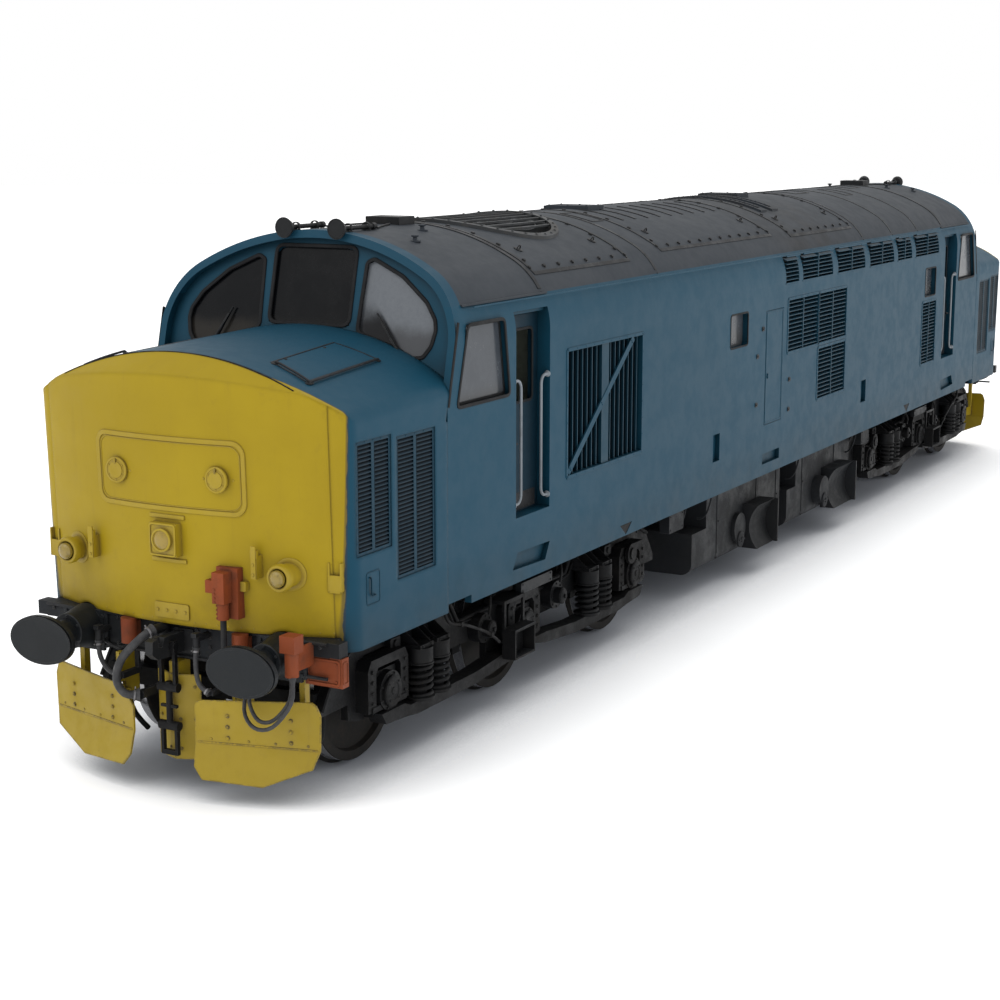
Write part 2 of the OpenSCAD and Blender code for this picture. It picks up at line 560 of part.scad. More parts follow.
// ---- roof and end fittings ----
module horns() color(steel) up() ends() {
  sides() {
    // trumpet with its bell in front of the roof edge
    xcyl(18, 6640, 7105, 240, 3888);
    translate([7105, 240, 3888]) rotate([0, 90, 0]) cylinder(r1 = 18, r2 = 70, h = 34);
    xcyl(70, 7139, 7147, 240, 3888);
    xcyl(26, 6600, 6640, 240, 3888);
    difference() {
      for (x = [6700, 7020]) box(x, x + 30, 220, 260, 3800, 3872);
      along_x(6600, 7200) body2d(0);
    }
  }
  // air box behind the horns
  difference() {
    box(5860, 6100, -160, 160, 3820, 3935);
    along_x(5800, 6200) body2d(0);
  }
}
module end_lights() color(yellow) up() ends() difference() {
  union() {
    box(8900, 9045, -115, 115, 1700, 1935);
    xcyl(85, 9045, 9060, 0, 1818);
    sides() {
      xcyl(85, 8800, 8985, 930, 1630);
      xcyl(60, 8985, 9000, 930, 1630);
      xcyl(70, 8880, 8996, 435, 2270);
      box(8830, 8965, 690, 740, 1600, 1760);
    }
  }
  nose_front();
}
module roof_fittings() color(roofgrey) up() {
  for (x = [-560, -900]) difference() {
    intersection() { box(x - 90, x + 90, -760, 760, 3600, 4000); along_x(x - 90, x + 90) body2d(-22); }
    along_x(x - 200, x + 200) body2d(0);
    box(x - 40, x + 40, -700, 700, 3500, 4200);
  }
  for (x = [-1250, 2600]) difference() {
    box(x - 170, x + 170, -240, 240, 3815, 3902);
    along_x(x - 200, x + 200) body2d(0);
  }
  sides() ends() intersection() {
    body_shell(5700, 7300, -14, 0);
    box(5700, 7080, 0, 2000, 3340, 3354);
  }
}
module handrails() color([0.62, 0.64, 0.66]) up() ends() sides() for (s = [[door_x0, door_x0 + 110], [door_x1 - 125, door_x1]]) {
  x = s[0] == door_x0 ? s[1] : s[0];
  zcyl(12, 1700, 2710, x, hw - 23);
  for (z = [1712, 2698]) xcyl(12, s[0], s[1], hw - 23, z);
}

// ---- doors, hinged on their rear edges ----
module cab_door(x0, x1) {
  difference() {
    box(x0, x1, 1200, 1200 + door_t, door_sill + 5, 3195);
    box(x0 + 90, x1 - 90, 1100, 1300, 2500, 3080);
  }
  // hinge knuckles
  for (z = [1750, 2400, 3000]) zcyl(12, z, z + 110, x0 + 12, 1200);
}
module front_left_cab_door() color(blue) up() cab_door(door_x0 + 5, door_x1 - 8);
module front_right_cab_door() color(blue) up() mirror([0, 1, 0]) cab_door(door_x0 + 5, door_x1 - 8);
module rear_left_cab_door() color(blue) up() mirror([1, 0, 0]) cab_door(door_x0 + 5, door_x1 - 8);
module rear_right_cab_door() color(blue) up() mirror([1, 0, 0]) mirror([0, 1, 0]) cab_door(door_x0 + 5, door_x1 - 8);
module side_door() {
  box(360, 850, hw - wall + 5, hw, 1615, 2790);
  for (z = [1700, 2150, 2600]) zcyl(8, z, z + 100, 368, hw - wall + 5);
}
module left_side_door() color(blue) up() side_door();
module right_side_door() color(blue) up() mirror([0, 1, 0]) side_door();

// ---- bogies, drawn round their own pivot ----
module horn_arch(x) translate([x, 0, 0]) along_y(985, 1100) difference() {
  polygon([[-280, 455], [-280, 770], [-235, 845], [235, 845], [280, 770], [280, 455]]);
  polygon([[-172, 400], [-172, 735], [-140, 775], [140, 775], [172, 735], [172, 400]]);
}
module bogie_frame() union() {
  sides() {
    difference() {
      along_y(925, 985) polygon([[-2880, 600], [-2700, 860], [-2400, 1000], [-1080, 1000], [-950, 820], [-450, 820], [-250, 1000], [250, 1000], [450, 820], [950, 820], [1080, 1000], [2400, 1000], [2700, 860], [2880, 600], [2880, 540], [2530, 540], [2530, 420], [2400, 380], [-2400, 380], [-2530, 420], [-2530, 540], [-2880, 540]]);
      for (x = [-axle_gap, 0, axle_gap]) box(x - 165, x + 165, 900, 1000, 300, 860);
      for (x = [-1080, 1080]) box(x - 620, x + 620, 900, 1000, 300, 600);
    }
    for (x = [-axle_gap, 0, axle_gap]) horn_arch(x);
    // brackets over the springs
    for (x = [-1460, -1190, 1460, 1710]) box(x - 95, x + 95, 985, 1170, 801, 830);
    // seat for the steps under the cab door
    box(130, 480, 985, 1170, 850, 880);
    box(130, 160, 1150, 1170, 640, 860);
    box(450, 480, 1150, 1170, 640, 860);
    // footsteps
    difference() {
      box(130, 480, 1150, 1270, 400, 650);
      box(145, 465, 1160, 1300, 415, 628);
    }
  }
  for (x = [-1050, 1050]) box(x - 120, x + 120, -925, 925, 620, 880);
  for (s = [-1, 1]) box(s * 2830 - 45, s * 2830 + 45, -925, 925, 560, 700);
  box(-1050, 1050, -300, 300, 880, 1000);
  zcyl(260, 1000, 1015);
  zcyl(pivot_r, 1000, 1200);
}
module axlebox() difference() {
  union() {
    box(-160, 160, 925, 1060, 390, 730);
    ycyl(150, 1060, 1118, 0, wheel_r);
    ycyl(118, 1118, 1142, 0, wheel_r);
  }
  ycyl(axle_r + 0.06, 900, 1085.5, 0, wheel_r);
}
module spring_stack(x) {
  zcyl(58, 400, 700, x, 1100);
  zcyl(112, 395, 418, x, 1100);
  zcyl(106, 690, 801, x, 1100);
}
module suspension() sides() {
  for (x = [-axle_gap, 0, axle_gap]) translate([x, 0, 0]) axlebox();
  // equalising beams between outer and middle boxes
  for (s = [0, 1]) mirror([s, 0, 0]) along_y(1000, 1140) polygon([[2310, 430], [2250, 340], [1950, 320], [1800, 300], [900, 300], [300, 350], [110, 390], [110, 440], [320, 440], [900, 395], [1900, 395], [1990, 430]]);
  spring_stack(-1460); spring_stack(-1190); spring_stack(1460); spring_stack(1710);
}
module brakes() {
  sides() {
    // blocks on both sides of each wheel
    for (x = [-axle_gap, 0, axle_gap]) for (s = [-1, 1]) if (abs(x + s * 700) < 2800) difference() {
      box(x + s * 660 - 65, x + s * 660 + 65, 700, 820, 450, 700);
      ycyl(wheel_r + flange_depth + 12, 600, 900, x, wheel_r);
    }
    for (x = [-1075, 1075]) box(x - 430, x + 430, 820, 850, 560, 615);
    // brake cylinders outside the frame
    for (x = [-620, 650]) { ycyl(120, 985, 1085, x, 690); ycyl(70, 1085, 1150, x, 690); }
    // round cover over the inner axlebox
    box(-2100, -2000, 1100, 1120, 740, 840);
    ycyl(95, 1120, 1150, -2050, 780);
    ycyl(55, 1150, 1165, -2050, 780);
  }
}
module motors() for (m = [[-2030, -1175], [120, 925], [1175, 2030]]) box(m[0], m[1], -560, 560, 300, 860);
module wheelset() translate([0, 0, wheel_r]) {
  ycyl(axle_r, -1085, 1085);
  for (s = [0, 1]) mirror([0, s, 0]) translate([0, wheel_in, 0]) rotate([-90, 0, 0]) rotate_extrude($fn = 128)
    polygon([[0, 0], [wheel_r + flange_depth - 12, 0], [wheel_r + flange_depth, 10], [wheel_r + flange_depth, 20], [wheel_r + 8, 34], [wheel_r, 44], [wheel_r - 4, 130], [wheel_r - 10, 135],
      [wheel_r - 75, 135], [wheel_r - 90, 95], [190, 80], [170, 135], [0, 135]]);
}
module at_bogie(s) up() translate([s * pivot_x, 0, 0]) children();
module front_bogie_frame() color(steel) at_bogie(1) bogie_frame();
module front_bogie_suspension() color(steel) at_bogie(1) suspension();
module front_bogie_brakes() color(steel) at_bogie(1) brakes();
module front_traction_motors() color(steel) at_bogie(1) motors();
module rear_bogie_frame() color(steel) at_bogie(-1) rotate([0, 0, 180]) bogie_frame();
module rear_bogie_suspension() color(steel) at_bogie(-1) rotate([0, 0, 180]) suspension();
module rear_bogie_brakes() color(steel) at_bogie(-1) rotate([0, 0, 180]) brakes();
module rear_traction_motors() color(steel) at_bogie(-1) rotate([0, 0, 180]) motors();
module front_wheelset_1() color(steel) at_bogie(1) translate([axle_gap, 0, 0]) wheelset();
module front_wheelset_2() color(steel) at_bogie(1) wheelset();
module front_wheelset_3() color(steel) at_bogie(1) translate([-axle_gap, 0, 0]) wheelset();
module rear_wheelset_1() color(steel) at_bogie(-1) translate([axle_gap, 0, 0]) wheelset();
module rear_wheelset_2() color(steel) at_bogie(-1) wheelset();
module rear_wheelset_3() color(steel) at_bogie(-1) translate([-axle_gap, 0, 0]) wheelset();

underframe();
left_body_side();
right_body_side();
main_roof();
cab_roofs();
cab_fronts();
noses();
window_glass();
body_grilles();
nose_grilles();
fan_grille();
engine_block();
cab_desks();
cab_seats();
cab_bulkheads();
underslung_tanks();
tank_saddles();
buffers();
snowploughs();
draw_hooks();
jumper_sockets();
pipe_cocks();
horns();
end_lights();
roof_fittings();
handrails();
radiator_fan();
front_coupling();
rear_coupling();
front_left_cab_door();
front_right_cab_door();
rear_left_cab_door();
rear_right_cab_door();
left_side_door();
right_side_door();
front_bogie_frame();
front_bogie_suspension();
front_bogie_brakes();
front_traction_motors();
rear_bogie_frame();
rear_bogie_suspension();
rear_bogie_brakes();
rear_traction_motors();
front_wheelset_1();
front_wheelset_2();
front_wheelset_3();
rear_wheelset_1();
rear_wheelset_2();
rear_wheelset_3();
front_vacuum_hose();
front_left_air_hose();
front_right_air_hose();
front_jumper_cable_1();
front_jumper_cable_2();
rear_vacuum_hose();
rear_left_air_hose();
rear_right_air_hose();
rear_jumper_cable_1();
rear_jumper_cable_2();
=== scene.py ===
import math
import random
import bpy
from mathutils import Matrix, Vector
from mathutils.bvhtree import BVHTree


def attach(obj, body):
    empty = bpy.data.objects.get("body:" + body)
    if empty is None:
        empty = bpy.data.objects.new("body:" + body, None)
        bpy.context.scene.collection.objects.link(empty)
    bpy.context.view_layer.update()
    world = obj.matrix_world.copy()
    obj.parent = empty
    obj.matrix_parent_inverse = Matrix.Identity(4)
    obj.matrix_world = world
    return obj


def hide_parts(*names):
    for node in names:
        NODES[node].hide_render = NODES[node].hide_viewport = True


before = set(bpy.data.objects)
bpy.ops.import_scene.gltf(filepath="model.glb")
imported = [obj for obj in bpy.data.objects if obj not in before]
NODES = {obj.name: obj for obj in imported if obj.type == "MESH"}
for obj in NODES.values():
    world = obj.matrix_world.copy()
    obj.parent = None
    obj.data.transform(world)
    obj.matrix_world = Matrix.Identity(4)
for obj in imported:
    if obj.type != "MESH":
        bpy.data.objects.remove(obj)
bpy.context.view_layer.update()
random.seed(37)
RZ = 0.03  # rail level above the lowest point of the wheel flanges


def P(x, y, z):
    return Vector((x, y, z + RZ))


# ------------------------------------------------------------------ camera, light, floor
scene = bpy.context.scene
cam_data = bpy.data.cameras.new("view_camera")
cam_data.lens = 68.96
cam_data.sensor_width = 36
cam_data.clip_end = 400
cam = bpy.data.objects.new("view_camera", cam_data)
scene.collection.objects.link(cam)
yaw, pitch = math.radians(208.445), math.radians(-11.026)
ahead = Vector((math.cos(yaw) * math.cos(pitch), math.sin(yaw) * math.cos(pitch), math.sin(pitch)))
cam.location = (19.421, 8.301, 4.679)
cam.rotation_euler = ahead.to_track_quat("-Z", "Y").to_euler()
scene.camera = cam
scene.view_settings.view_transform = "Standard"

world = bpy.data.worlds.new("studio")
world.use_nodes = True
scene.world = world
world.node_tree.nodes["Background"].inputs[0].default_value = (1.0, 1.0, 1.0, 1)
world.node_tree.nodes["Background"].inputs[1].default_value = 1.0


def area(name, loc, aim, size, power, color=(1, 1, 1)):
    d = bpy.data.lights.new(name, "AREA")
    d.shape = "RECTANGLE"
    d.size, d.size_y = size
    d.energy = power
    d.color = color
    o = bpy.data.objects.new(name, d)
    scene.collection.objects.link(o)
    o.location = loc
    o.rotation_euler = (Vector(aim) - Vector(loc)).to_track_quat("-Z", "Y").to_euler()
    return o


area("key_light", (26, -8, 20), (4, 0, 2), (16, 12), 1500, (1.0, 0.985, 0.96))
area("fill_light", (6, 26, 12), (0, 0, 2), (26, 10), 300, (0.93, 0.97, 1.0))
area("top_light", (-2, 3, 24), (0, 0, 0), (30, 14), 900)


# ------------------------------------------------------------------ materials
class Mat:
    """A small helper that wires one procedural material."""

    def __init__(self, name, rough=0.5, metal=0.0, spec=0.5):
        self.m = bpy.data.materials.new(name)
        self.m.use_nodes = True
        self.t = self.m.node_tree
        self.b = self.t.nodes["Principled BSDF"]
        self.b.inputs["Roughness"].default_value = rough
        self.b.inputs["Metallic"].default_value = metal
        self.b.inputs["Specular IOR Level"].default_value = spec
        tc = self.t.nodes.new("ShaderNodeTexCoord")
        self.pos = tc.outputs["Object"]
        self.nor = tc.outputs["Normal"]
        sep = self.t.nodes.new("ShaderNodeSeparateXYZ")
        self.t.links.new(self.pos, sep.inputs[0])
        self.x, self.y, self.z = sep.outputs

    def link(self, a, b):
        self.t.links.new(a, b)

    def _in(self, sock, v):
        if isinstance(v, bpy.types.NodeSocket):
            self.link(v, sock)
        elif isinstance(v, tuple) and len(v) == 3 and sock.type == "RGBA":
            sock.default_value = (*v, 1)
        else:
            sock.default_value = v

    def math(self, op, a, b=0.0, c=None, clamp=False):
        n = self.t.nodes.new("ShaderNodeMath")
        n.operation = op
        n.use_clamp = clamp
        self._in(n.inputs[0], a)
        self._in(n.inputs[1], b)
        if c is not None:
            self._in(n.inputs[2], c)
        return n.outputs[0]

    def ramp(self, v, lo, hi, to0=0.0, to1=1.0, smooth=True):
        n = self.t.nodes.new("ShaderNodeMapRange")
        n.interpolation_type = "SMOOTHSTEP" if smooth else "LINEAR"
        self._in(n.inputs["Value"], v)
        self._in(n.inputs["From Min"], lo)
        self._in(n.inputs["From Max"], hi)
        self._in(n.inputs["To Min"], to0)
        self._in(n.inputs["To Max"], to1)
        return n.outputs["Result"]

    def scaled(self, sx, sy, sz):
        n = self.t.nodes.new("ShaderNodeMapping")
        n.inputs["Scale"].default_value = (sx, sy, sz)
        self.link(self.pos, n.inputs["Vector"])
        return n.outputs[0]

    def noise(self, scale, detail=4, rough=0.55, vec=None, dist=0.0):
        n = self.t.nodes.new("ShaderNodeTexNoise")
        n.inputs["Scale"].default_value = scale
        n.inputs["Detail"].default_value = detail
        n.inputs["Roughness"].default_value = rough
        n.inputs["Distortion"].default_value = dist
        self.link(vec if vec is not None else self.pos, n.inputs["Vector"])
        return n.outputs["Fac"]

    def mix(self, f, a, b):
        n = self.t.nodes.new("ShaderNodeMix")
        n.data_type = "RGBA"
        self._in(n.inputs[0], f)
        self._in(n.inputs[6], a)
        self._in(n.inputs[7], b)
        return n.outputs[2]

    def bump(self, h, strength=0.3, dist=0.002, normal=None):
        n = self.t.nodes.new("ShaderNodeBump")
        n.inputs["Strength"].default_value = strength
        n.inputs["Distance"].default_value = dist
        self.link(h, n.inputs["Height"])
        if normal is not None:
            self.link(normal, n.inputs["Normal"])
        return n.outputs[0]

    def edges(self, radius=0.006, lo=0.02, hi=0.25):
        """1 on sharp outer and inner edges."""
        bev = self.t.nodes.new("ShaderNodeBevel")
        bev.samples = 3
        bev.inputs["Radius"].default_value = radius
        geo = self.t.nodes.new("ShaderNodeNewGeometry")
        d = self.t.nodes.new("ShaderNodeVectorMath")
        d.operation = "DOT_PRODUCT"
        self.link(bev.outputs[0], d.inputs[0])
        self.link(geo.outputs["Normal"], d.inputs[1])
        return self.ramp(self.math("SUBTRACT", 1.0, d.outputs["Value"]), lo, hi)

    def corner_shade_and_grime(self, dist=0.06, lo=0.55, hi=0.95):
        """1 in corners and round fittings, from ambient occlusion: the mask for painted shade, with grime, in hollows.
        """
        n = self.t.nodes.new("ShaderNodeAmbientOcclusion")
        n.samples = 4
        n.inputs["Distance"].default_value = dist
        return self.ramp(n.outputs["AO"], lo, hi, 1.0, 0.0)

    def done(self, color, rough=None, normal=None):
        self._in(self.b.inputs["Base Color"], color)
        if rough is not None:
            self._in(self.b.inputs["Roughness"], rough)
        if normal is not None:
            self.link(normal, self.b.inputs["Normal"])
        return self.m


def worn(name, base, dark, dust, rough=(0.45, 0.75), metal=0.0, grime=0.5, low=(0.9, 1.9), blotch=0.5, bump=0.25, edge=None, corner_shade_and_grime=0.0, streak=0.3, fine=70.0, spec=0.2):
    m = Mat(name, metal=metal, spec=spec)
    big = m.noise(0.9, 3)
    mid = m.noise(5.0, 5, 0.65)
    small = m.noise(fine, 4, 0.6)
    col = m.mix(m.ramp(big, 0.35, 0.68), base, dark)
    col = m.mix(m.math("MULTIPLY", m.ramp(mid, 0.5, 0.72), blotch), col, dust)
    if streak:
        st = m.noise(1.0, 4, 0.7, m.scaled(22, 22, 0.9))
        col = m.mix(m.math("MULTIPLY", m.ramp(st, 0.52, 0.78), streak), col, dust)
    if grime:
        g = m.ramp(m.z, low[0], low[1], 1.0, 0.0)
        g = m.math("MULTIPLY", g, m.ramp(m.noise(2.2, 5, 0.7), 0.3, 0.7, 0.35, 1.0))
        col = m.mix(m.math("MULTIPLY", g, grime), col, dust)
    # painted shade with grime: corners and hollows, found by ambient occlusion, are pulled towards the darker dirt
    # colour
    if corner_shade_and_grime:
        col = m.mix(m.math("MULTIPLY", m.corner_shade_and_grime(), corner_shade_and_grime), col, dark if sum(dark) < sum(dust) else dust)
    if edge is not None:
        e = m.math("MULTIPLY", m.edges(), m.ramp(m.noise(18, 4, 0.7), 0.4, 0.62))
        col = m.mix(m.math("MULTIPLY", e, edge[1]), col, edge[0])
    r = m.ramp(m.math("ADD", mid, m.math("MULTIPLY", small, 0.4)), 0.45, 0.95, rough[0], rough[1])
    return m.done(col, r, m.bump(small, bump, 0.0015))


BLUE = (0.003, 0.045, 0.080)
BLUE_D = (0.0028, 0.041, 0.073)
DIRT = (0.016, 0.036, 0.048)
YEL = (0.315, 0.224, 0.0075)
YEL_D = (0.285, 0.200, 0.007)


def blue_paint(name="body_blue_paint", deep=False):
    m = Mat(name, spec=0.15)
    big = m.noise(0.30, 2)
    paler_up = m.ramp(m.z, 1.1, 3.4)
    # with deep the blue is a darker copy: painted shade for grilles and louvres set back in the body
    a = BLUE_D if not deep else (0.004, 0.032, 0.055)
    b = BLUE if not deep else (0.006, 0.042, 0.070)
    col = m.mix(m.ramp(big, 0.3, 0.7), a, b)
    # paler blue towards the top
    col = m.mix(m.math("MULTIPLY", paler_up, 0.16), col, (0.018, 0.072, 0.112))
    st = m.noise(1.0, 5, 0.72, m.scaled(16, 16, 0.5))
    col = m.mix(m.math("MULTIPLY", m.ramp(st, 0.5, 0.8), 0.10), col, DIRT)
    low = m.math("MULTIPLY", m.ramp(m.z, 1.12, 1.60, 1.0, 0.0), m.ramp(m.noise(3, 4, 0.6), 0.3, 0.75, 0.4, 1.0))
    col = m.mix(m.math("MULTIPLY", low, 0.35), col, (0.018, 0.026, 0.030))
    sp = m.ramp(m.noise(55, 3, 0.8), 0.66, 0.74)
    col = m.mix(m.math("MULTIPLY", sp, 0.10), col, (0.03, 0.045, 0.052))
    # painted shade: ambient occlusion darkens the blue to near black in recesses, door openings and under ledges
    col = m.mix(m.math("MULTIPLY", m.corner_shade_and_grime(0.22, 0.40, 0.96), 0.75), col, (0.001, 0.012, 0.020))
    # painted shade: behind the louvre slats the colour goes to near black, by depth in from the side
    if deep:
        col = m.mix(m.ramp(m.math("ABSOLUTE", m.y), 1.300, 1.336, 0.92, 0.0), col, (0.0006, 0.003, 0.006))
    mid = m.noise(7, 4, 0.6)
    r = m.ramp(mid, 0.3, 0.75, 0.47, 0.56)
    n = m.bump(m.noise(0.5, 1), 0.08, 0.02)
    n = m.bump(m.noise(120, 3), 0.08, 0.0008, n)
    return m, col, r, n


def make_blue(name, deep=False, back=None, painted_shade=0.0):
    m, col, r, n = blue_paint(name, deep)
    # painted shade: the whole colour is pulled towards near black for parts sitting in recesses
    if painted_shade:
        col = m.mix(painted_shade, col, (0.0004, 0.004, 0.008))
    # painted shade: near black where the surface lies deeper than the given depth from the side, in the gaps between
    # slats
    if back:
        col = m.mix(m.ramp(m.math("ABSOLUTE", m.y), back[0], back[1], 0.9, 0.0), col, (0.0006, 0.003, 0.006))
    return m.done(col, r, n)


def yellow_layers(m):
    big = m.noise(1.3, 4, 0.6)
    col = m.mix(m.ramp(big, 0.3, 0.7), YEL, YEL_D)
    st = m.noise(1.0, 5, 0.75, m.scaled(14, 14, 1.0))
    col = m.mix(m.math("MULTIPLY", m.ramp(st, 0.52, 0.85), 0.28), col, (0.170, 0.115, 0.018))
    blot = m.ramp(m.noise(6, 6, 0.75), 0.56, 0.8)
    col = m.mix(m.math("MULTIPLY", blot, 0.28), col, (0.150, 0.100, 0.018))
    low = m.math("MULTIPLY", m.ramp(m.z, 1.15, 1.75, 1.0, 0.0), m.ramp(m.noise(4, 5, 0.7), 0.35, 0.75, 0.2, 1.0))
    low = m.math("MULTIPLY", low, m.ramp(m.z, 0.9, 1.15, 0.35, 1.0))
    col = m.mix(m.math("MULTIPLY", low, 0.40), col, (0.12, 0.080, 0.016))
    return col


def nose_paint():
    m, bcol, r, n = blue_paint("nose_paint")
    ycol = yellow_layers(m)
    # painted shade with grime: ambient occlusion browns the yellow round the fittings and in the creases
    ycol = m.mix(m.math("MULTIPLY", m.corner_shade_and_grime(0.05, 0.35, 0.80), 0.65), ycol, (0.13, 0.085, 0.03))
    ax = m.math("ABSOLUTE", m.x)
    ay = m.math("ABSOLUTE", m.y)
    # the yellow starts a little further back on the sides than on top
    start = m.ramp(m.z, 2.80, 3.02, 8.706, 8.845, smooth=False)
    wob = m.ramp(m.noise(9, 3), 0.3, 0.7, -0.004, 0.004)
    isy = m.ramp(m.math("ADD", m.math("SUBTRACT", ax, start), wob), -0.002, 0.002)
    col = m.mix(isy, bcol, ycol)
    seam = m.ramp(m.math("ABSOLUTE", m.math("SUBTRACT", ax, start)), 0.004, 0.012, 0.6, 0.0)
    col = m.mix(seam, col, (0.03, 0.03, 0.03))
    bev = m.t.nodes.new("ShaderNodeBevel")
    bev.samples = 4
    bev.inputs["Radius"].default_value = 0.05
    soft = m.bump(m.noise(1.6, 3), 0.35, 0.02, bev.outputs[0])
    soft = m.bump(m.noise(110, 3), 0.08, 0.0008, soft)
    return m.done(col, r, soft)


def roof_paint(name, rim=False):
    m = Mat(name, spec=0.25)
    big = m.noise(0.35, 2, 0.5)
    col = m.mix(m.ramp(big, 0.3, 0.7), (0.020, 0.026, 0.034), (0.029, 0.035, 0.043))
    st = m.noise(1.0, 5, 0.75, m.scaled(7, 1.2, 1.2))
    col = m.mix(m.math("MULTIPLY", m.ramp(st, 0.48, 0.8), 0.22), col, (0.046, 0.048, 0.050))
    blot = m.ramp(m.noise(9, 6, 0.8), 0.55, 0.8)
    col = m.mix(m.math("MULTIPLY", blot, 0.18), col, (0.018, 0.020, 0.023))
    # soot round the exhaust ports
    d = m.math("ABSOLUTE", m.math("ADD", m.x, 0.73))
    soot = m.math("MULTIPLY", m.ramp(d, 0.2, 1.5, 1.0, 0.0), m.ramp(m.noise(2.5, 5, 0.7), 0.3, 0.65))
    col = m.mix(m.math("MULTIPLY", soot, 0.6), col, (0.016, 0.015, 0.015))
    r = m.ramp(m.noise(6, 5, 0.7), 0.3, 0.75, 0.60, 0.70)
    if rim:
        bm, bc = m, m.mix(m.ramp(big, 0.3, 0.7), BLUE, BLUE_D)
        ax = m.math("ABSOLUTE", m.x)
        edge = m.math("SUBTRACT", m.math("MULTIPLY_ADD", m.z, -0.25, 7.40 + 0.25 * 2.66), 0.135)
        isb = m.ramp(m.math("SUBTRACT", ax, edge), -0.003, 0.003)
        col = m.mix(isb, col, bc)
    n = m.bump(m.noise(0.9, 2), 0.12, 0.02)
    n = m.bump(m.noise(90, 4, 0.7), 0.15, 0.0010, n)
    return m.done(col, r, n)


M = {}
M["blue"] = make_blue("body_blue_paint")
# grilles, louvres and cab doors use shaded copies of the body blue: painted shade for parts set back in the body
M["deep"] = make_blue("grille_blue_paint", True)
M["nosegrille"] = make_blue("nose_grille_blue_paint", False, (1.3388, 1.3440), painted_shade=0.4)
M["noselouvre"] = make_blue("nose_louvre_blue_paint", False, (1.3360, 1.3485), painted_shade=0.6)
M["deepdoor"] = make_blue("cab_door_blue_paint", painted_shade=0.7)
M["nose"] = nose_paint()
M["roof"] = roof_paint("roof_grey_paint")
M["cabroof"] = roof_paint("cab_roof_paint", True)


def yellow_mat(name, chips):
    m = Mat(name, spec=0.35)
    col = yellow_layers(m)
    # painted shade with grime: ambient occlusion browns the yellow in corners and round fittings
    col = m.mix(m.math("MULTIPLY", m.corner_shade_and_grime(0.05, 0.5, 0.98), 0.6), col, (0.13, 0.085, 0.03))
    if chips:
        e = m.math("MULTIPLY", m.edges(0.022, 0.01, 0.12), m.ramp(m.noise(9, 6, 0.85), 0.42, 0.54))
        sc = m.math("MULTIPLY", m.ramp(m.noise(1.0, 6, 0.85, m.scaled(4, 4, 6)), 0.66, 0.70), m.ramp(m.z, 0.2, 0.62, 1.0, 0.25))
        k = m.math("MAXIMUM", e, sc)
        col = m.mix(m.math("MULTIPLY", k, 0.9), col, (0.035, 0.028, 0.022))
        rust = m.ramp(m.noise(7, 5, 0.8), 0.60, 0.72)
        col = m.mix(m.math("MULTIPLY", rust, 0.16), col, (0.14, 0.055, 0.018))
    r = m.ramp(m.noise(8, 4, 0.6), 0.3, 0.75, 0.42, 0.68)
    return m.done(col, r, m.bump(m.noise(60, 4), 0.2, 0.0015))


M["yellow"] = yellow_mat("nose_yellow_paint", False)
M["plough"] = yellow_mat("plough_yellow_paint", True)
M["under"] = worn("underframe_black_paint", (0.010, 0.012, 0.015), (0.006, 0.007, 0.008), (0.022, 0.022, 0.023), (0.45, 0.8), grime=0.5, low=(0.2, 1.2), blotch=0.55, bump=0.45, edge=((0.085, 0.085, 0.085), 0.5))
M["bogie"] = worn("bogie_black_iron", (0.0045, 0.005, 0.006), (0.0025, 0.0025, 0.003), (0.013, 0.012, 0.011), (0.42, 0.8), grime=0.4, low=(0.0, 0.9), blotch=0.6, bump=0.6, edge=((0.07, 0.07, 0.07), 0.5), fine=55, spec=0.16)
M["buffer"] = worn("buffer_grey_steel", (0.007, 0.0095, 0.012), (0.006, 0.0075, 0.009), (0.018, 0.019, 0.020), (0.38, 0.62), grime=0.15, blotch=0.45, bump=0.35, streak=0.1, edge=((0.12, 0.12, 0.125), 0.5))
# the orange paint carries painted shade with grime in its corners
M["orange"] = worn("orange_paint", (0.23, 0.048, 0.012), (0.165, 0.034, 0.010), (0.07, 0.030, 0.018), (0.5, 0.75), grime=0.25, blotch=0.55, bump=0.3, corner_shade_and_grime=0.5, streak=0.25)
M["rail"] = worn("handrail_grey_paint", (0.200, 0.225, 0.250), (0.150, 0.170, 0.190), (0.08, 0.085, 0.09), (0.4, 0.6), grime=0.2, low=(1.6, 2.2), blotch=0.35, bump=0.2, streak=0.2)
M["fan"] = worn("fan_dark_steel", (0.040, 0.044, 0.048), (0.028, 0.030, 0.032), (0.08, 0.072, 0.062), (0.4, 0.65), grime=0, blotch=0.5, bump=0.35, edge=((0.16, 0.17, 0.18), 0.4))
M["engine"] = worn("engine_grey_paint", (0.11, 0.115, 0.12), (0.08, 0.085, 0.09), (0.04, 0.033, 0.025), (0.4, 0.6), grime=0.6, low=(1.2, 2.6), blotch=0.6, bump=0.35)
M["cabin"] = worn("cab_interior_paint", (0.16, 0.18, 0.145), (0.12, 0.135, 0.11), (0.06, 0.055, 0.045), (0.45, 0.65), grime=0.4, low=(1.5, 2.2), blotch=0.4, bump=0.25, edge=((0.05, 0.05, 0.045), 0.4))
M["black"] = worn("black_rubber_seal", (0.008, 0.009, 0.010), (0.006, 0.006, 0.007), (0.022, 0.022, 0.022), (0.55, 0.8), grime=0.2, blotch=0.4, bump=0.4, streak=0.2)
M["dark"] = worn("dark_metal_trim", (0.012, 0.013, 0.016), (0.008, 0.009, 0.010), (0.030, 0.028, 0.026), (0.4, 0.65), grime=0.2, blotch=0.45, bump=0.35, edge=((0.11, 0.11, 0.11), 0.5))
M["steel"] = worn("bright_worn_steel", (0.25, 0.25, 0.26), (0.17, 0.17, 0.18), (0.08, 0.06, 0.045), (0.3, 0.55), metal=0.85, grime=0.2, blotch=0.5, bump=0.3)


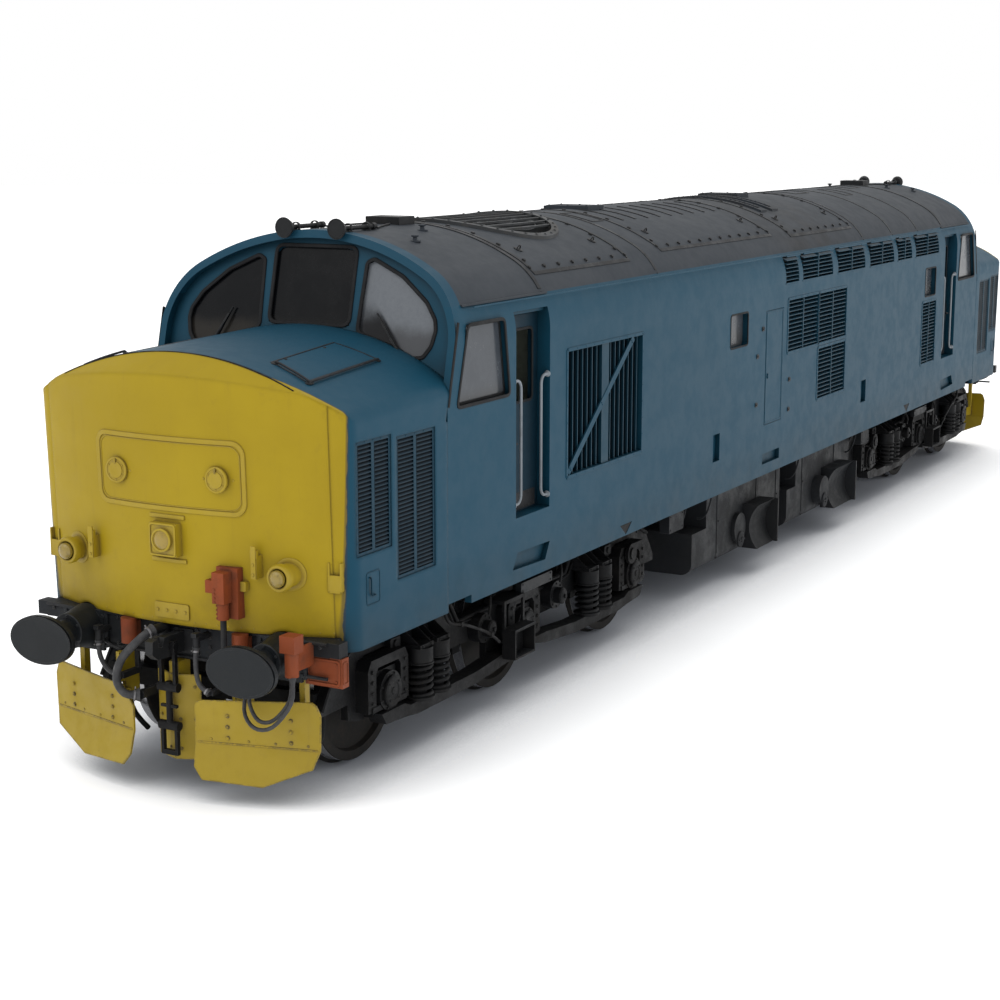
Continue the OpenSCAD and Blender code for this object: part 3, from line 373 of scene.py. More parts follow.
def rubber_mat():
    m = Mat("hose_black_rubber", spec=0.35)
    c = m.mix(m.ramp(m.noise(14, 5, 0.7), 0.35, 0.7), (0.020, 0.021, 0.024), (0.040, 0.040, 0.042))
    c = m.mix(m.math("MULTIPLY", m.ramp(m.noise(60, 4, 0.8), 0.55, 0.75), 0.5), c, (0.09, 0.08, 0.07))
    w = m.t.nodes.new("ShaderNodeTexWave")
    w.wave_type = "BANDS"
    w.bands_direction = "Z"
    w.inputs["Scale"].default_value = 42
    w.inputs["Distortion"].default_value = 1.2
    m.link(m.pos, w.inputs["Vector"])
    n = m.bump(w.outputs["Fac"], 0.25, 0.0012)
    return m.done(c, m.ramp(m.noise(30, 4), 0.3, 0.7, 0.42, 0.68), m.bump(m.noise(220, 3), 0.3, 0.0006, n))


M["rubber"] = rubber_mat()


def lens_mat(name, base, glow, rough=0.08):
    m = Mat(name, rough=rough, spec=0.35)
    m.b.inputs["Coat Weight"].default_value = 0.12
    w = m.t.nodes.new("ShaderNodeTexWave")
    w.inputs["Scale"].default_value = 60
    w.bands_direction = "Y"
    m.link(m.pos, w.inputs["Vector"])
    c = m.mix(m.math("MULTIPLY", w.outputs["Fac"], 0.5), base, glow)
    c = m.mix(m.math("MULTIPLY", m.ramp(m.noise(26, 5, 0.7), 0.5, 0.75), 0.6), c, (0.09, 0.07, 0.03))
    return m.done(c, m.ramp(m.noise(40, 3), 0.3, 0.7, 0.08, 0.28), m.bump(w.outputs["Fac"], 0.3, 0.001))


M["lens"] = lens_mat("clear_lens_glass", (0.250, 0.170, 0.022), (0.330, 0.240, 0.050))
M["taillens"] = lens_mat("tail_lens_glass", (0.230, 0.165, 0.035), (0.300, 0.225, 0.065))


def cloth_mat():
    m = Mat("seat_worn_cloth", rough=0.9, spec=0.2)
    m.b.inputs["Sheen Weight"].default_value = 0.35
    w1 = m.t.nodes.new("ShaderNodeTexWave")
    w1.inputs["Scale"].default_value = 190
    w1.bands_direction = "Y"
    m.link(m.pos, w1.inputs["Vector"])
    w2 = m.t.nodes.new("ShaderNodeTexWave")
    w2.inputs["Scale"].default_value = 190
    w2.bands_direction = "X"
    m.link(m.pos, w2.inputs["Vector"])
    wv = m.math("MULTIPLY", w1.outputs["Fac"], w2.outputs["Fac"])
    c = m.mix(m.ramp(m.noise(9, 4), 0.3, 0.7), (0.030, 0.027, 0.027), (0.050, 0.044, 0.042))
    c = m.mix(m.math("MULTIPLY", wv, 0.4), c, (0.075, 0.068, 0.064))
    return m.done(c, None, m.bump(wv, 0.5, 0.001))


M["cloth"] = cloth_mat()


def glass_mat(name, kind):
    """Opaque glazing with road film; the windscreens carry painted shade for the dark cab and a painted reflection on
    one pane: kind is 'screen' or 'side'.
    """
    m = Mat(name, rough=0.12, spec=0.14 if kind == "screen" else 0.2)
    film = m.noise(3.5, 6, 0.75)
    fine = m.noise(34, 4, 0.75)
    # dark stands for the shaded cab seen through the opaque glass (painted shade); pale is a painted reflection
    dark = (0.0035, 0.004, 0.005)
    pale = (0.150, 0.162, 0.178)
    if kind == "screen":
        side = m.math("MULTIPLY", m.x, m.y)
        near = m.ramp(side, 2.7, 2.8)  # painted reflection: the pane in front of the driver's mate is pale
        col = m.mix(near, dark, m.mix(m.ramp(fine, 0.35, 0.7), pale, (0.135, 0.146, 0.162)))
        # dusty band along the bottom of the panes, swept clean above
        band = m.ramp(m.math("ADD", m.z, m.math("MULTIPLY", film, 0.18)), 3.20, 3.34, 1.0, 0.0)
        film_c = m.mix(near, (0.030, 0.027, 0.023), (0.055, 0.055, 0.058))
        col = m.mix(m.math("MULTIPLY", band, 0.75), col, film_c)
        # feathered dark wedge beside the wiper on the near pane, breaking its painted reflection
        ay = m.math("ABSOLUTE", m.y)
        line = m.math("MULTIPLY_ADD", m.math("SUBTRACT", 3.300, m.z), 0.78, 0.62)
        d = m.math("SUBTRACT", line, ay)
        wedge = m.ramp(m.math("ADD", m.z, m.math("MULTIPLY", film, 0.20)), 3.30, 3.50, 1.0, 0.0)
        wedge = m.math("MULTIPLY", wedge, m.ramp(d, -0.035, 0.0))
        wedge = m.math("MULTIPLY", wedge, m.math("MULTIPLY", m.ramp(d, 0.20, 0.42, 1.0, 0.0), near))
        col = m.mix(m.math("MULTIPLY", wedge, 0.95), col, (0.009, 0.009, 0.010))
    else:
        col = m.mix(m.ramp(m.math("ADD", film, m.math("MULTIPLY", fine, 0.3)), 0.5, 0.9), (0.044, 0.051, 0.061), (0.062, 0.070, 0.081))
        low = m.ramp(m.z, 2.62, 2.78, 1.0, 0.0)
        col = m.mix(m.math("MULTIPLY", low, 0.45), col, (0.05, 0.048, 0.043))
    r = m.ramp(m.math("ADD", film, m.math("MULTIPLY", fine, 0.25)), 0.4, 0.9, 0.10, 0.34)
    return m.done(col, r, m.bump(film, 0.02, 0.002))


M["screen"] = glass_mat("windscreen_glass", "screen")
M["pane"] = glass_mat("side_glass", "side")


def wheel_mat(cx, tag):
    m = Mat("wheel_steel_" + tag, spec=0.2)
    dx = m.math("SUBTRACT", m.x, cx)
    dz = m.math("SUBTRACT", m.z, 0.6015)
    rr = m.math("SQRT", m.math("ADD", m.math("MULTIPLY", dx, dx), m.math("MULTIPLY", dz, dz)))
    ay = m.math("ABSOLUTE", m.y)
    tread = m.math("MULTIPLY", m.ramp(rr, 0.5635, 0.5660), m.ramp(ay, 0.722, 0.728))
    tread = m.math("MULTIPLY", tread, m.ramp(ay, 0.806, 0.814, 1.0, 0.0))
    blot = m.noise(11, 5, 0.7)
    c = m.mix(m.ramp(blot, 0.35, 0.7), (0.009, 0.0085, 0.008), (0.014, 0.012, 0.010))
    c = m.mix(m.math("MULTIPLY", m.ramp(m.noise(28, 4), 0.5, 0.7), 0.3), c, (0.030, 0.020, 0.014))
    c = m.mix(tread, c, m.mix(m.ramp(m.noise(40, 3), 0.3, 0.7), (0.36, 0.36, 0.37), (0.28, 0.28, 0.29)))
    m.link(m.math("MULTIPLY", tread, 0.9), m.b.inputs["Metallic"])
    r = m.ramp(tread, 0, 1, 0.72, 0.25)
    return m.done(c, r, m.bump(m.noise(70, 4), 0.35, 0.0012))


def set_mat(node, mat):
    me = NODES[node].data
    me.materials.clear()
    me.materials.append(mat)


by_node = {
    "underframe": "under", "left_body_side": "blue", "right_body_side": "blue", "main_roof": "roof", "cab_roofs": "cabroof", "cab_fronts": "blue",
    "noses": "nose", "window_glass": "screen", "body_grilles": "deep", "nose_grilles": "nosegrille", "fan_grille": "fan", "engine_block": "engine",
    "cab_desks": "cabin", "cab_seats": "cloth", "cab_bulkheads": "cabin", "underslung_tanks": "under", "tank_saddles": "under", "buffers": "buffer",
    "snowploughs": "plough", "draw_hooks": "dark", "jumper_sockets": "orange", "pipe_cocks": "dark", "horns": "dark", "end_lights": "yellow",
    "roof_fittings": "roof", "handrails": "rail", "radiator_fan": "fan", "front_coupling": "bogie", "rear_coupling": "bogie",
    "front_left_cab_door": "deepdoor", "front_right_cab_door": "deepdoor", "rear_left_cab_door": "deepdoor", "rear_right_cab_door": "deepdoor",
    "left_side_door": "blue", "right_side_door": "blue",
}
for e in ("front", "rear"):
    for n in ("bogie_frame", "bogie_suspension", "bogie_brakes", "traction_motors"):
        by_node[f"{e}_{n}"] = "bogie"
    for n in ("vacuum_hose", "left_air_hose", "right_air_hose", "jumper_cable_1", "jumper_cable_2"):
        by_node[f"{e}_{n}"] = "rubber"
for n, k in by_node.items():
    set_mat(n, M[k])
for e, s in (("front", 1), ("rear", -1)):
    for i, d in ((1, 2.15), (2, 0.0), (3, -2.15)):
        set_mat(f"{e}_wheelset_{i}", wheel_mat(s * 5.7 + d, f"{e}_{i}"))
# the side and body windows are paler than the windscreens
me = NODES["window_glass"].data
me.materials.append(M["pane"])
for p in me.polygons:
    if abs(p.center.x) < 6.99 and abs(p.center.y) > 1.2:
        p.material_index = 1
    elif abs(p.center.y) > 1.26:
        p.material_index = 1


# ------------------------------------------------------------------ floor
def make_floor():
    n = 48
    vs = [(0, 0, 0)] + [(140 * math.cos(2 * math.pi * i / n), 140 * math.sin(2 * math.pi * i / n), 0) for i in range(n)]
    fs = [(0, 1 + i, 1 + (i + 1) % n) for i in range(n)]
    me = bpy.data.meshes.new("floor")
    me.from_pydata(vs, [], fs)
    o = bpy.data.objects.new("floor", me)
    scene.collection.objects.link(o)
    m = Mat("pale_floor", rough=0.9, spec=0.1)
    # painted contact shadow: ambient occlusion darkens the floor's colour and its glow under and round the locomotive
    ao = m.t.nodes.new("ShaderNodeAmbientOcclusion")
    ao.samples = 12
    ao.inputs["Distance"].default_value = 2.6
    unshadowed = m.ramp(ao.outputs["AO"], 0.22, 0.76)
    glow = m.mix(unshadowed, (0.02, 0.022, 0.026), (1.0, 1.0, 1.0))
    pale = m.mix(m.ramp(m.noise(0.4, 3), 0.3, 0.7), (0.86, 0.86, 0.86), (0.88, 0.88, 0.88))
    me.materials.append(m.done(m.mix(unshadowed, (0.40, 0.42, 0.46), pale)))
    m.link(glow, m.b.inputs["Emission Color"])
    m.b.inputs["Emission Strength"].default_value = 0.44


make_floor()


# ------------------------------------------------------------------ cords
def cr(a, b, c, d, t):
    return 0.5 * ((2 * b) + (c - a) * t + (2 * a - 5 * b + 4 * c - d) * t * t + (3 * b - a - 3 * c + d) * t * t * t)


def smooth_route(pts, n):
    out = []
    m = len(pts)
    for i in range(m - 1):
        a, b, c, d = pts[max(i - 1, 0)], pts[i], pts[i + 1], pts[min(i + 2, m - 1)]
        out += [cr(a, b, c, d, j / n) for j in range(n)]
    return out + [pts[-1]]


CORDS = {
    "vacuum_hose": (0.030, 4, [(9050, -110, 1150), (9125, -150, 1115), (9170, -300, 950), (9165, -360, 790), (9140, -310, 685), (9075, -225, 670)]),
    "left_air_hose": (0.018, 6, [(8975, -670, 990), (8985, -655, 880), (9010, -560, 790), (9030, -430, 770)]),
    "right_air_hose": (0.018, 6, [(9000, 230, 1060), (9020, 235, 950), (9060, 290, 820), (9060, 380, 760)]),
    "jumper_cable_1": (0.014, 4, [(9130, 1125, 1010), (9150, 1120, 840), (9170, 1000, 690), (9150, 860, 660), (9060, 720, 740), (8950, 650, 880)]),
    "jumper_cable_2": (0.014, 4, [(9165, 1160, 1010), (9185, 1155, 830), (9205, 1010, 650), (9180, 840, 615), (9070, 680, 690), (8915, 622, 880)]),
}
cord_paths = {}
for end, sgn in (("front", 1), ("rear", -1)):
    for kind, (r, n, raw) in CORDS.items():
        pts = [P(sgn * x / 1000, sgn * y / 1000, z / 1000) for x, y, z in raw]
        q = smooth_route(pts, n)
        length = sum((b - a).length for a, b in zip(q, q[1:]))
        cu = bpy.data.curves.new(f"{end}_{kind}_run", "CURVE")
        cu.dimensions = "3D"
        sp = cu.splines.new("POLY")
        sp.points.add(len(q) - 1)
        for a, b in zip(sp.points, q):
            a.co = (*b, 1)
        cu.bevel_depth = r
        cu.bevel_resolution = 5
        cu.use_fill_caps = True
        cu.materials.append(M["rubber"])
        for s_ in cu.splines:
            s_.use_smooth = True
        o = bpy.data.objects.new(f"{end}_{kind}_run", cu)
        scene.collection.objects.link(o)
        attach(o, "body")
        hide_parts(f"{end}_{kind}")
        tuple(q[0])
        cord_paths[(end, kind)] = (q, r)


# ------------------------------------------------------------------ mesh kit
class Kit:
    """Collects parts of one piece. Heights are above the rail."""

    def __init__(self):
        self.v, self.f = [], []

    def add(self, vs, fs):
        o = len(self.v)
        self.v += [Vector(v) for v in vs]
        self.f += [tuple(i + o for i in f) for f in fs]
        return self

    def box(self, x0, x1, y0, y1, z0, z1):
        vs = [(x, y, z) for x in (x0, x1) for y in (y0, y1) for z in (z0, z1)]
        return self.add(vs, [(0, 1, 3, 2), (4, 6, 7, 5), (0, 4, 5, 1), (2, 3, 7, 6), (0, 2, 6, 4), (1, 5, 7, 3)])

    def slab(self, poly, d):
        """A flat outline moved along d, closed."""
        n = len(poly)
        a = [Vector(p) for p in poly]
        d = Vector(d)
        nr = sum(((a[i].cross(a[(i + 1) % n])) for i in range(n)), Vector())
        if nr.dot(d) > 0:
            a = a[::-1]
        b = [p + d for p in a]
        fs = [tuple(range(n)), tuple(range(2 * n - 1, n - 1, -1))]
        fs += [(i, i + n, (i + 1) % n + n, (i + 1) % n) for i in range(n)]
        return self.add(a + b, fs)

    def lathe(self, o, axis, prof, n=20, start=0.0):
        """prof: list of (radius, distance along axis). Ends closed where the radius is 0 or by a cap."""
        o, ax = Vector(o), Vector(axis).normalized()
        u = ax.cross(Vector((0.13, 0.29, 0.95))).normalized()
        if abs(ax.z) > 0.9:
            u = Vector((1, 0, 0))
        w = ax.cross(u).normalized()
        vs, fs, rings = [], [], []
        for r, h in prof:
            if r < 1e-6:
                rings.append([len(vs)])
                vs.append(o + ax * h)
            else:
                rings.append(list(range(len(vs), len(vs) + n)))
                vs += [o + ax * h + (u * math.cos(start + 2 * math.pi * i / n) + w * math.sin(start + 2 * math.pi * i / n)) * r for i in range(n)]
        for a, b in zip(rings, rings[1:]):
            for i in range(n):
                j = (i + 1) % n
                if len(a) == 1 and len(b) == 1:
                    continue
                if len(a) == 1:
                    fs.append((a[0], b[j], b[i]))
                elif len(b) == 1:
                    fs.append((a[i], a[j], b[0]))
                else:
                    fs.append((a[i], a[j], b[j], b[i]))
        if len(rings[0]) > 1:
            fs.append(tuple(reversed(rings[0])))
        if len(rings[-1]) > 1:
            fs.append(tuple(rings[-1]))
        return self.add(vs, fs)

    def cyl(self, p0, p1, r0, r1=None, n=16):
        p0, p1 = Vector(p0), Vector(p1)
        return self.lathe(p0, p1 - p0, [(r0, 0), (r0 if r1 is None else r1, (p1 - p0).length)], n)

    def tube(self, pts, r, n=8, closed=False):
        pts = [Vector(p) for p in pts]
        m = len(pts)
        vs, fs = [], []
        u = None
        for i in range(m):
            if closed:
                t = (pts[(i + 1) % m] - pts[i - 1]).normalized()
            else:
                t = (pts[min(i + 1, m - 1)] - pts[max(i - 1, 0)]).normalized()
            if u is None:
                u = t.cross(Vector((0.31, 0.93, 0.17))).normalized()
            u = (u - t * u.dot(t)).normalized()
            w = t.cross(u)
            rr = r[i] if isinstance(r, (list, tuple)) else r
            vs += [pts[i] + (u * math.cos(2 * math.pi * j / n) + w * math.sin(2 * math.pi * j / n)) * rr for j in range(n)]
        for i in range(m if closed else m - 1):
            k = (i + 1) % m
            for j in range(n):
                fs.append((i * n + j, i * n + (j + 1) % n, k * n + (j + 1) % n, k * n + j))
        if not closed:
            fs.append(tuple(reversed(range(n))))
            fs.append(tuple((m - 1) * n + j for j in range(n)))
        return self.add(vs, fs)

    def strip(self, pts, side, w, h, closed=False, off=0.0):
        """A flat-topped strip along pts: side(i) gives the outward normal, w wide, h proud, with chamfered edges."""
        pts = [Vector(p) for p in pts]
        m = len(pts)
        vs, fs = [], []
        for i in range(m):
            if closed:
                t = (pts[(i + 1) % m] - pts[i - 1]).normalized()
            else:
                t = (pts[min(i + 1, m - 1)] - pts[max(i - 1, 0)]).normalized()
            nr = Vector(side(i)) if callable(side) else Vector(side)
            nr = (nr - t * nr.dot(t)).normalized()
            b = t.cross(nr)
            c = min(w, h) * 0.35
            for a, k in ((-w / 2, -0.003), (-w / 2, h - c), (-w / 2 + c, h), (w / 2 - c, h), (w / 2, h - c), (w / 2, -0.003)):
                vs.append(pts[i] + b * (a + off) + nr * k)
        for i in range(m if closed else m - 1):
            k = (i + 1) % m
            for j in range(6):
                fs.append((i * 6 + j, k * 6 + j, k * 6 + (j + 1) % 6, i * 6 + (j + 1) % 6))
        if not closed:
            fs.append(tuple(range(6)))
            fs.append(tuple((m - 1) * 6 + j for j in reversed(range(6))))
        return self.add(vs, fs)

    def bolt(self, p, nr, r=0.011, h=0.008, hexa=True):
        if hexa:
            return self.lathe(Vector(p) - Vector(nr).normalized() * 0.002, nr, [(r * 1.35, 0), (r * 1.35, 0.003), (r, 0.004), (r, 0.002 + h), (r * 0.7, 0.002 + h * 1.25)], 6)
        return self.lathe(Vector(p) - Vector(nr).normalized() * 0.002, nr, [(r, 0), (r, 0.001 + h * 0.35), (r * 0.75, 0.001 + h * 0.8), (0, 0.001 + h)], 8)

    def moved(self, fn, flip=False):
        k = Kit()
        k.v = [fn(v) for v in self.v]
        k.f = [tuple(reversed(f)) for f in self.f] if flip else list(self.f)
        return k

    def join(self, k):
        return self.add(k.v, k.f)

    def sides(self):
        """Adds the mirror image across the centre line."""
        return self.join(self.moved(lambda v: Vector((v.x, -v.y, v.z)), True))

    def ends(self):
        return self.join(self.moved(lambda v: Vector((-v.x, v.y, v.z)), True))

    def turned(self):
        return self.join(self.moved(lambda v: Vector((-v.x, -v.y, v.z))))

    def shift(self, dx, dy=0, dz=0):
        return self.moved(lambda v: v + Vector((dx, dy, dz)))

    def piece(self, name, mat, body="body", slot=None, bevel=0.0, seg=1, angle=32, sub=0):
        me = bpy.data.meshes.new(name)
        me.from_pydata([(v.x, v.y, v.z + RZ) for v in self.v], [], self.f)
        me.validate()
        me.materials.append(M[mat] if isinstance(mat, str) else mat)
        me.polygons.foreach_set("use_smooth", [True] * len(me.polygons))
        me.update()
        me.set_sharp_from_angle(angle=math.radians(angle))
        o = bpy.data.objects.new(name, me)
        scene.collection.objects.link(o)
        if bevel:
            b = o.modifiers.new("edge", "BEVEL")
            b.width = bevel
            b.segments = seg
            b.limit_method = "ANGLE"
            b.angle_limit = math.radians(40)
            b.harden_normals = False
        if sub:
            s = o.modifiers.new("smooth", "SUBSURF")
            s.levels = s.render_levels = sub
        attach(o, body)
        return o


trees = {}


def tree(node):
    if node not in trees:
        m = NODES[node].data
        trees[node] = BVHTree.FromPolygons([v.co.copy() for v in m.vertices], [tuple(p.vertices) for p in m.polygons])
    return trees[node]


def hit(node, o, d):
    """Where a ray meets a CAD node, and the normal there. Heights above the rail."""
    loc, nr, _, _ = tree(node).ray_cast(Vector(o) + Vector((0, 0, RZ)), Vector(d))
    if loc is None:
        return None
    if nr.dot(Vector(d)) > 0:
        nr = -nr
    return loc - Vector((0, 0, RZ)), nr


def on_roof(x, y):
    for n in ("main_roof", "cab_roofs", "fan_grille"):
        h = hit(n, (x, y, 5.0), (0, 0, -1))
        if h:
            return h
    return None


def on_nose(y, z):
    return hit("noses", (10.0, y, z), (-1, 0, 0))


def on_nose_top(x, y):
    return hit("noses", (x, y, 5.0), (0, 0, -1))


def arc(cx, cy, r, a0, a1, n):
    return [(cx + r * math.cos(math.radians(a0 + (a1 - a0) * i / n)), cy + r * math.sin(math.radians(a0 + (a1 - a0) * i / n))) for i in range(n + 1)]


def round_rect(x0, x1, z0, z1, r, n=5):
    return arc(x1 - r, z0 + r, r, -90, 0, n) + arc(x1 - r, z1 - r, r, 0, 90, n) + arc(x0 + r, z1 - r, r, 90, 180, n) + arc(x0 + r, z0 + r, r, 180, 270, n)


# ------------------------------------------------------------------ nose front fittings
def nose_path(yz, lift=0.0):
    out = []
    for y, z in yz:
        p, nr = on_nose(y, z)
        out.append(p + nr * lift)
    return out


def lamp_x(y, z, pad=0.0):
    h = hit("end_lights", (10.0, y, z), (-1, 0, 0)) or hit("noses", (10.0, y, z), (-1, 0, 0))
    return h[0].x + pad


k = Kit()
# pressed frame of the route indicator and the flat panel in it
rr = round_rect(-0.63, 0.63, 2.03, 2.53, 0.085, 7)
dense = []
for (a, b), (c, d) in zip(rr, rr[1:] + rr[:1]):
    steps = max(1, int(math.hypot(c - a, d - b) / 0.06))
    dense += [(a + (c - a) * i / steps, b + (d - b) * i / steps) for i in range(steps)]
path = nose_path(dense)
k.strip(path, (1, 0, 0), 0.034, 0.010, closed=True)
inner = [(y * 0.957, 2.28 + (z - 2.28) * 0.90) for y, z in dense]
k.tube(nose_path(inner, 0.001), 0.004, 6, closed=True)
for y in (-0.435, 0.435):
    p = Vector((lamp_x(y, 2.27), y, 2.27))
    k.lathe(p, (1, 0, 0), [(0.092, -0.016), (0.092, -0.002), (0.086, 0.002), (0.078, 0.002), (0.076, -0.001)], 28)
    k.lathe(p, (1, 0, 0), [(0.060, 0.0), (0.058, 0.006), (0.048, 0.008), (0.030, 0.005), (0.0, 0.004)], 24)
    for i in range(6):
        a = math.radians(30 + i * 60)
        k.bolt(p + Vector((0.0015, 0.068 * math.cos(a), 0.068 * math.sin(a))), (1, 0, 0), 0.006, 0.004, False)
    for dy, dz in ((-0.115, 0.0), (0.115, 0.0)):
        q, nr = on_nose(y + dy, 2.27 + dz)
        k.bolt(q, nr, 0.009, 0.006, False)
# headlight box: rim, brow and corner screws
k.strip([(9.046, y, z) for y, z in round_rect(-0.108, 0.108, 1.708, 1.928, 0.018, 3)], (1, 0, 0), 0.014, 0.008, closed=True)
for y in (-0.096, 0.096):
    for z in (1.72, 1.916):
        k.bolt((9.046, y, z), (1, 0, 0), 0.008, 0.005, False)
for z in (1.66, 1.975):
    q, nr = on_nose(0, z)
    k.strip(nose_path([(-0.15, z), (-0.05, z), (0.05, z), (0.15, z)]), nr, 0.03, 0.012)
# tail light rings
for y in (-0.93, 0.93):
    p = Vector((lamp_x(y, 1.63) - 0.015, y, 1.63))
    k.lathe(p, (1, 0, 0), [(0.098, -0.045), (0.098, -0.010), (0.090, 0.004), (0.076, 0.006), (0.068, 0.0)], 28)
    for i in range(4):
        a = math.radians(45 + i * 90)
        k.bolt(p + Vector((0.002, 0.083 * math.cos(a), 0.083 * math.sin(a))), (1, 0, 0), 0.007, 0.005, False)
    q, nr = on_nose(y, 1.63)
    k.lathe(q, nr, [(0.118, -0.004), (0.118, 0.006), (0.112, 0.009), (0.098, 0.009)], 28)
# lamp irons
for y in (-0.715, 0.715):
    q, nr = on_nose(y, 1.60)
    xf = lamp_x(y, 1.69)
    k.box(xf - 0.02, xf + 0.004, y - 0.027, y + 0.027, 1.745, 1.800)
    k.box(xf - 0.003, xf + 0.008, y - 0.020, y + 0.020, 1.60, 1.830)
    for z in (1.63, 1.70):
        k.bolt((xf + 0.008, y, z), (1, 0, 0), 0.009, 0.006)
# plate with four bolts low on the centre
q, nr = on_nose(0, 1.29)
k.slab([(q.x - 0.004, y, z) for y, z in round_rect(-0.15, 0.15, 1.235, 1.345, 0.012, 2)], (0.014, 0, 0))
for y in (-0.12, -0.04, 0.04, 0.12):
    k.bolt((q.x + 0.010, y, 1.255 + 0.035), (1, 0, 0), 0.010, 0.007)
# rivets along the lower edge of the face
for i in range(27):
    y = -1.21 + i * 2.42 / 26
    if abs(abs(y) - 0.87) < 0.2 or abs(y) < 0.17:
        continue
    h = on_nose(y, 1.222)
    if h:
        k.bolt(h[0], h[1], 0.007, 0.004, False)
# points along the fold where the front sheet laps the crown; they are collected but not drawn
fold = []
for i in range(41):
    y = -1.16 + i * 2.32 / 40
    z = 3.02 - 0.9 * (1 - math.sqrt(max(0.0, 1 - (y / 2.55) ** 2))) * 2.4
    h = on_nose(y, z - 0.06)
    if h:
        fold.append(h[0])
k.ends()
k.piece("nose_front_fittings", "yellow", slot="nose_yellow")

# lenses
lens = Kit()
lens.lathe((lamp_x(0, 1.818), 0, 1.818), (1, 0, 0), [(0.066, 0.0), (0.064, 0.004), (0.050, 0.009), (0.028, 0.012), (0, 0.013)], 28)
lens.ends()
lens.piece("headlight_lenses", "lens", slot="glass")
k = Kit()
k.lathe((lamp_x(0, 1.818), 0, 1.818), (1, 0, 0), [(0.084, 0.0), (0.084, 0.008), (0.078, 0.011), (0.070, 0.011), (0.067, 0.004)], 30)
k.ends()
k.piece("headlight_rims", "yellow", slot="nose_yellow")
tl = Kit()
for y in (-0.93, 0.93):
    tl.lathe((lamp_x(y, 1.63), y, 1.63), (1, 0, 0), [(0.056, -0.002), (0.055, 0.008), (0.046, 0.018), (0.028, 0.025), (0, 0.028)], 26)
tl.ends()
tl.piece("tail_lamp_lenses", "taillens", slot="glass")

# small cube beside the cable head and the broken ring marks of the marker lights
k = Kit()
p, nr = on_nose(0.60, 1.53)
k.slab([(p.x - 0.004, a, b) for a, b in round_rect(0.565, 0.635, 1.495, 1.565, 0.010, 2)], (0.045, 0, 0))
k.turned()
k.piece("cable_head_blocks", "yellow", slot="nose_yellow", bevel=0.002)
k = Kit()
for y in (-0.435, 0.435):
    x = lamp_x(y, 2.27) + 0.006
    for a0 in (20, 140, 260):
        k.tube([(x - 0.004, y + 0.047 * math.cos(math.radians(a)), 2.27 + 0.047 * math.sin(math.radians(a))) for a in range(a0, a0 + 81, 10)], 0.0045, 6)
    k.box(x - 0.006, x + 0.006, y - 0.006, y + 0.006, 2.318, 2.352)
k.ends()
k.piece("marker_light_marks", "plough", slot="nose_yellow")

# grab rails on the nose top, with their feet
def top(x, y, lift=0.0):
    p, nr = on_nose_top(x, y)
    return p + nr * lift


k = Kit()
rails = [((8.57, 0.65), (8.64, 0.975)), ((8.62, 0.975), (7.66, 0.915))]
for (xa, ya), (xb, yb) in rails:
    a, b = top(xa, ya, 0.020), top(xb, yb, 0.020)
    a0, b0 = top(xa, ya, -0.004), top(xb, yb, -0.004)
    n = 10
    mid = [a.lerp(b, i / n) for i in range(n + 1)]
    mid = [top(v.x, v.y, 0.020) for v in mid]
    k.tube([a0, a0.lerp(mid[0], 0.75), mid[0] + (mid[1] - mid[0]) * 0.15] + mid[1:-1] + [mid[-1] + (mid[-2] - mid[-1]) * 0.15, b0.lerp(mid[-1], 0.75), b0], 0.009, 8)
    for v in (top(xa, ya), top(xb, yb)):
        k.lathe(v, (0, 0, 1), [(0.026, -0.003), (0.026, 0.005), (0.018, 0.008), (0.010, 0.010)], 14)
k.sides()
k.ends()
k.piece("nose_top_grab_rails", "dark", slot="underframe_black")

# weld seams and the hatch on top of the nose
k = Kit()
for x in (8.845,):
    pts = []
    for i in range(47):
        y = -1.27 + i * 2.54 / 46
        h = on_nose_top(x, y)
        if h and h[0].z > 2.74:
            pts.append(h[0])
    k.strip(pts, lambda i, pts=pts: (0.03, pts[i].y * 0.3, 1), 0.012, 0.003)
hatch = [(7.66, 0.54), (8.57, 0.62), (8.63, 0.95), (7.64, 0.89)]
dense = []
for (a, b), (c, d) in zip(hatch, hatch[1:] + hatch[:1]):
    for i in range(8):
        dense.append((a + (c - a) * i / 8, b + (d - b) * i / 8))
k.strip([top(x, y) for x, y in dense], (0, 0, 1), 0.014, 0.004, closed=True)
for x, y in ((7.85, 0.585), (8.40, 0.625)):
    k.bolt(top(x, y), (0, 0, 1), 0.012, 0.008, False)
k.sides()
k.ends()
k.piece("nose_top_hatches", "dark", slot="body_blue")

# small cover with a handle low on each nose side
k = Kit()
for s in (1,):
    k.strip([(x, 1.3525, z) for x, z in round_rect(8.36, 8.53, 1.39, 1.62, 0.02, 3)], (0, 1, 0), 0.010, 0.003, closed=True)
    k.tube([(8.49, 1.350, 1.585), (8.49, 1.366, 1.58), (8.49, 1.368, 1.565), (8.49, 1.368, 1.47), (8.48, 1.368, 1.455), (8.43, 1.366, 1.45), (8.425, 1.350, 1.45)], 0.006, 6)
k.sides()
k.ends()
k.piece("nose_side_covers", "nose", slot="body_blue", bevel=0.0015)
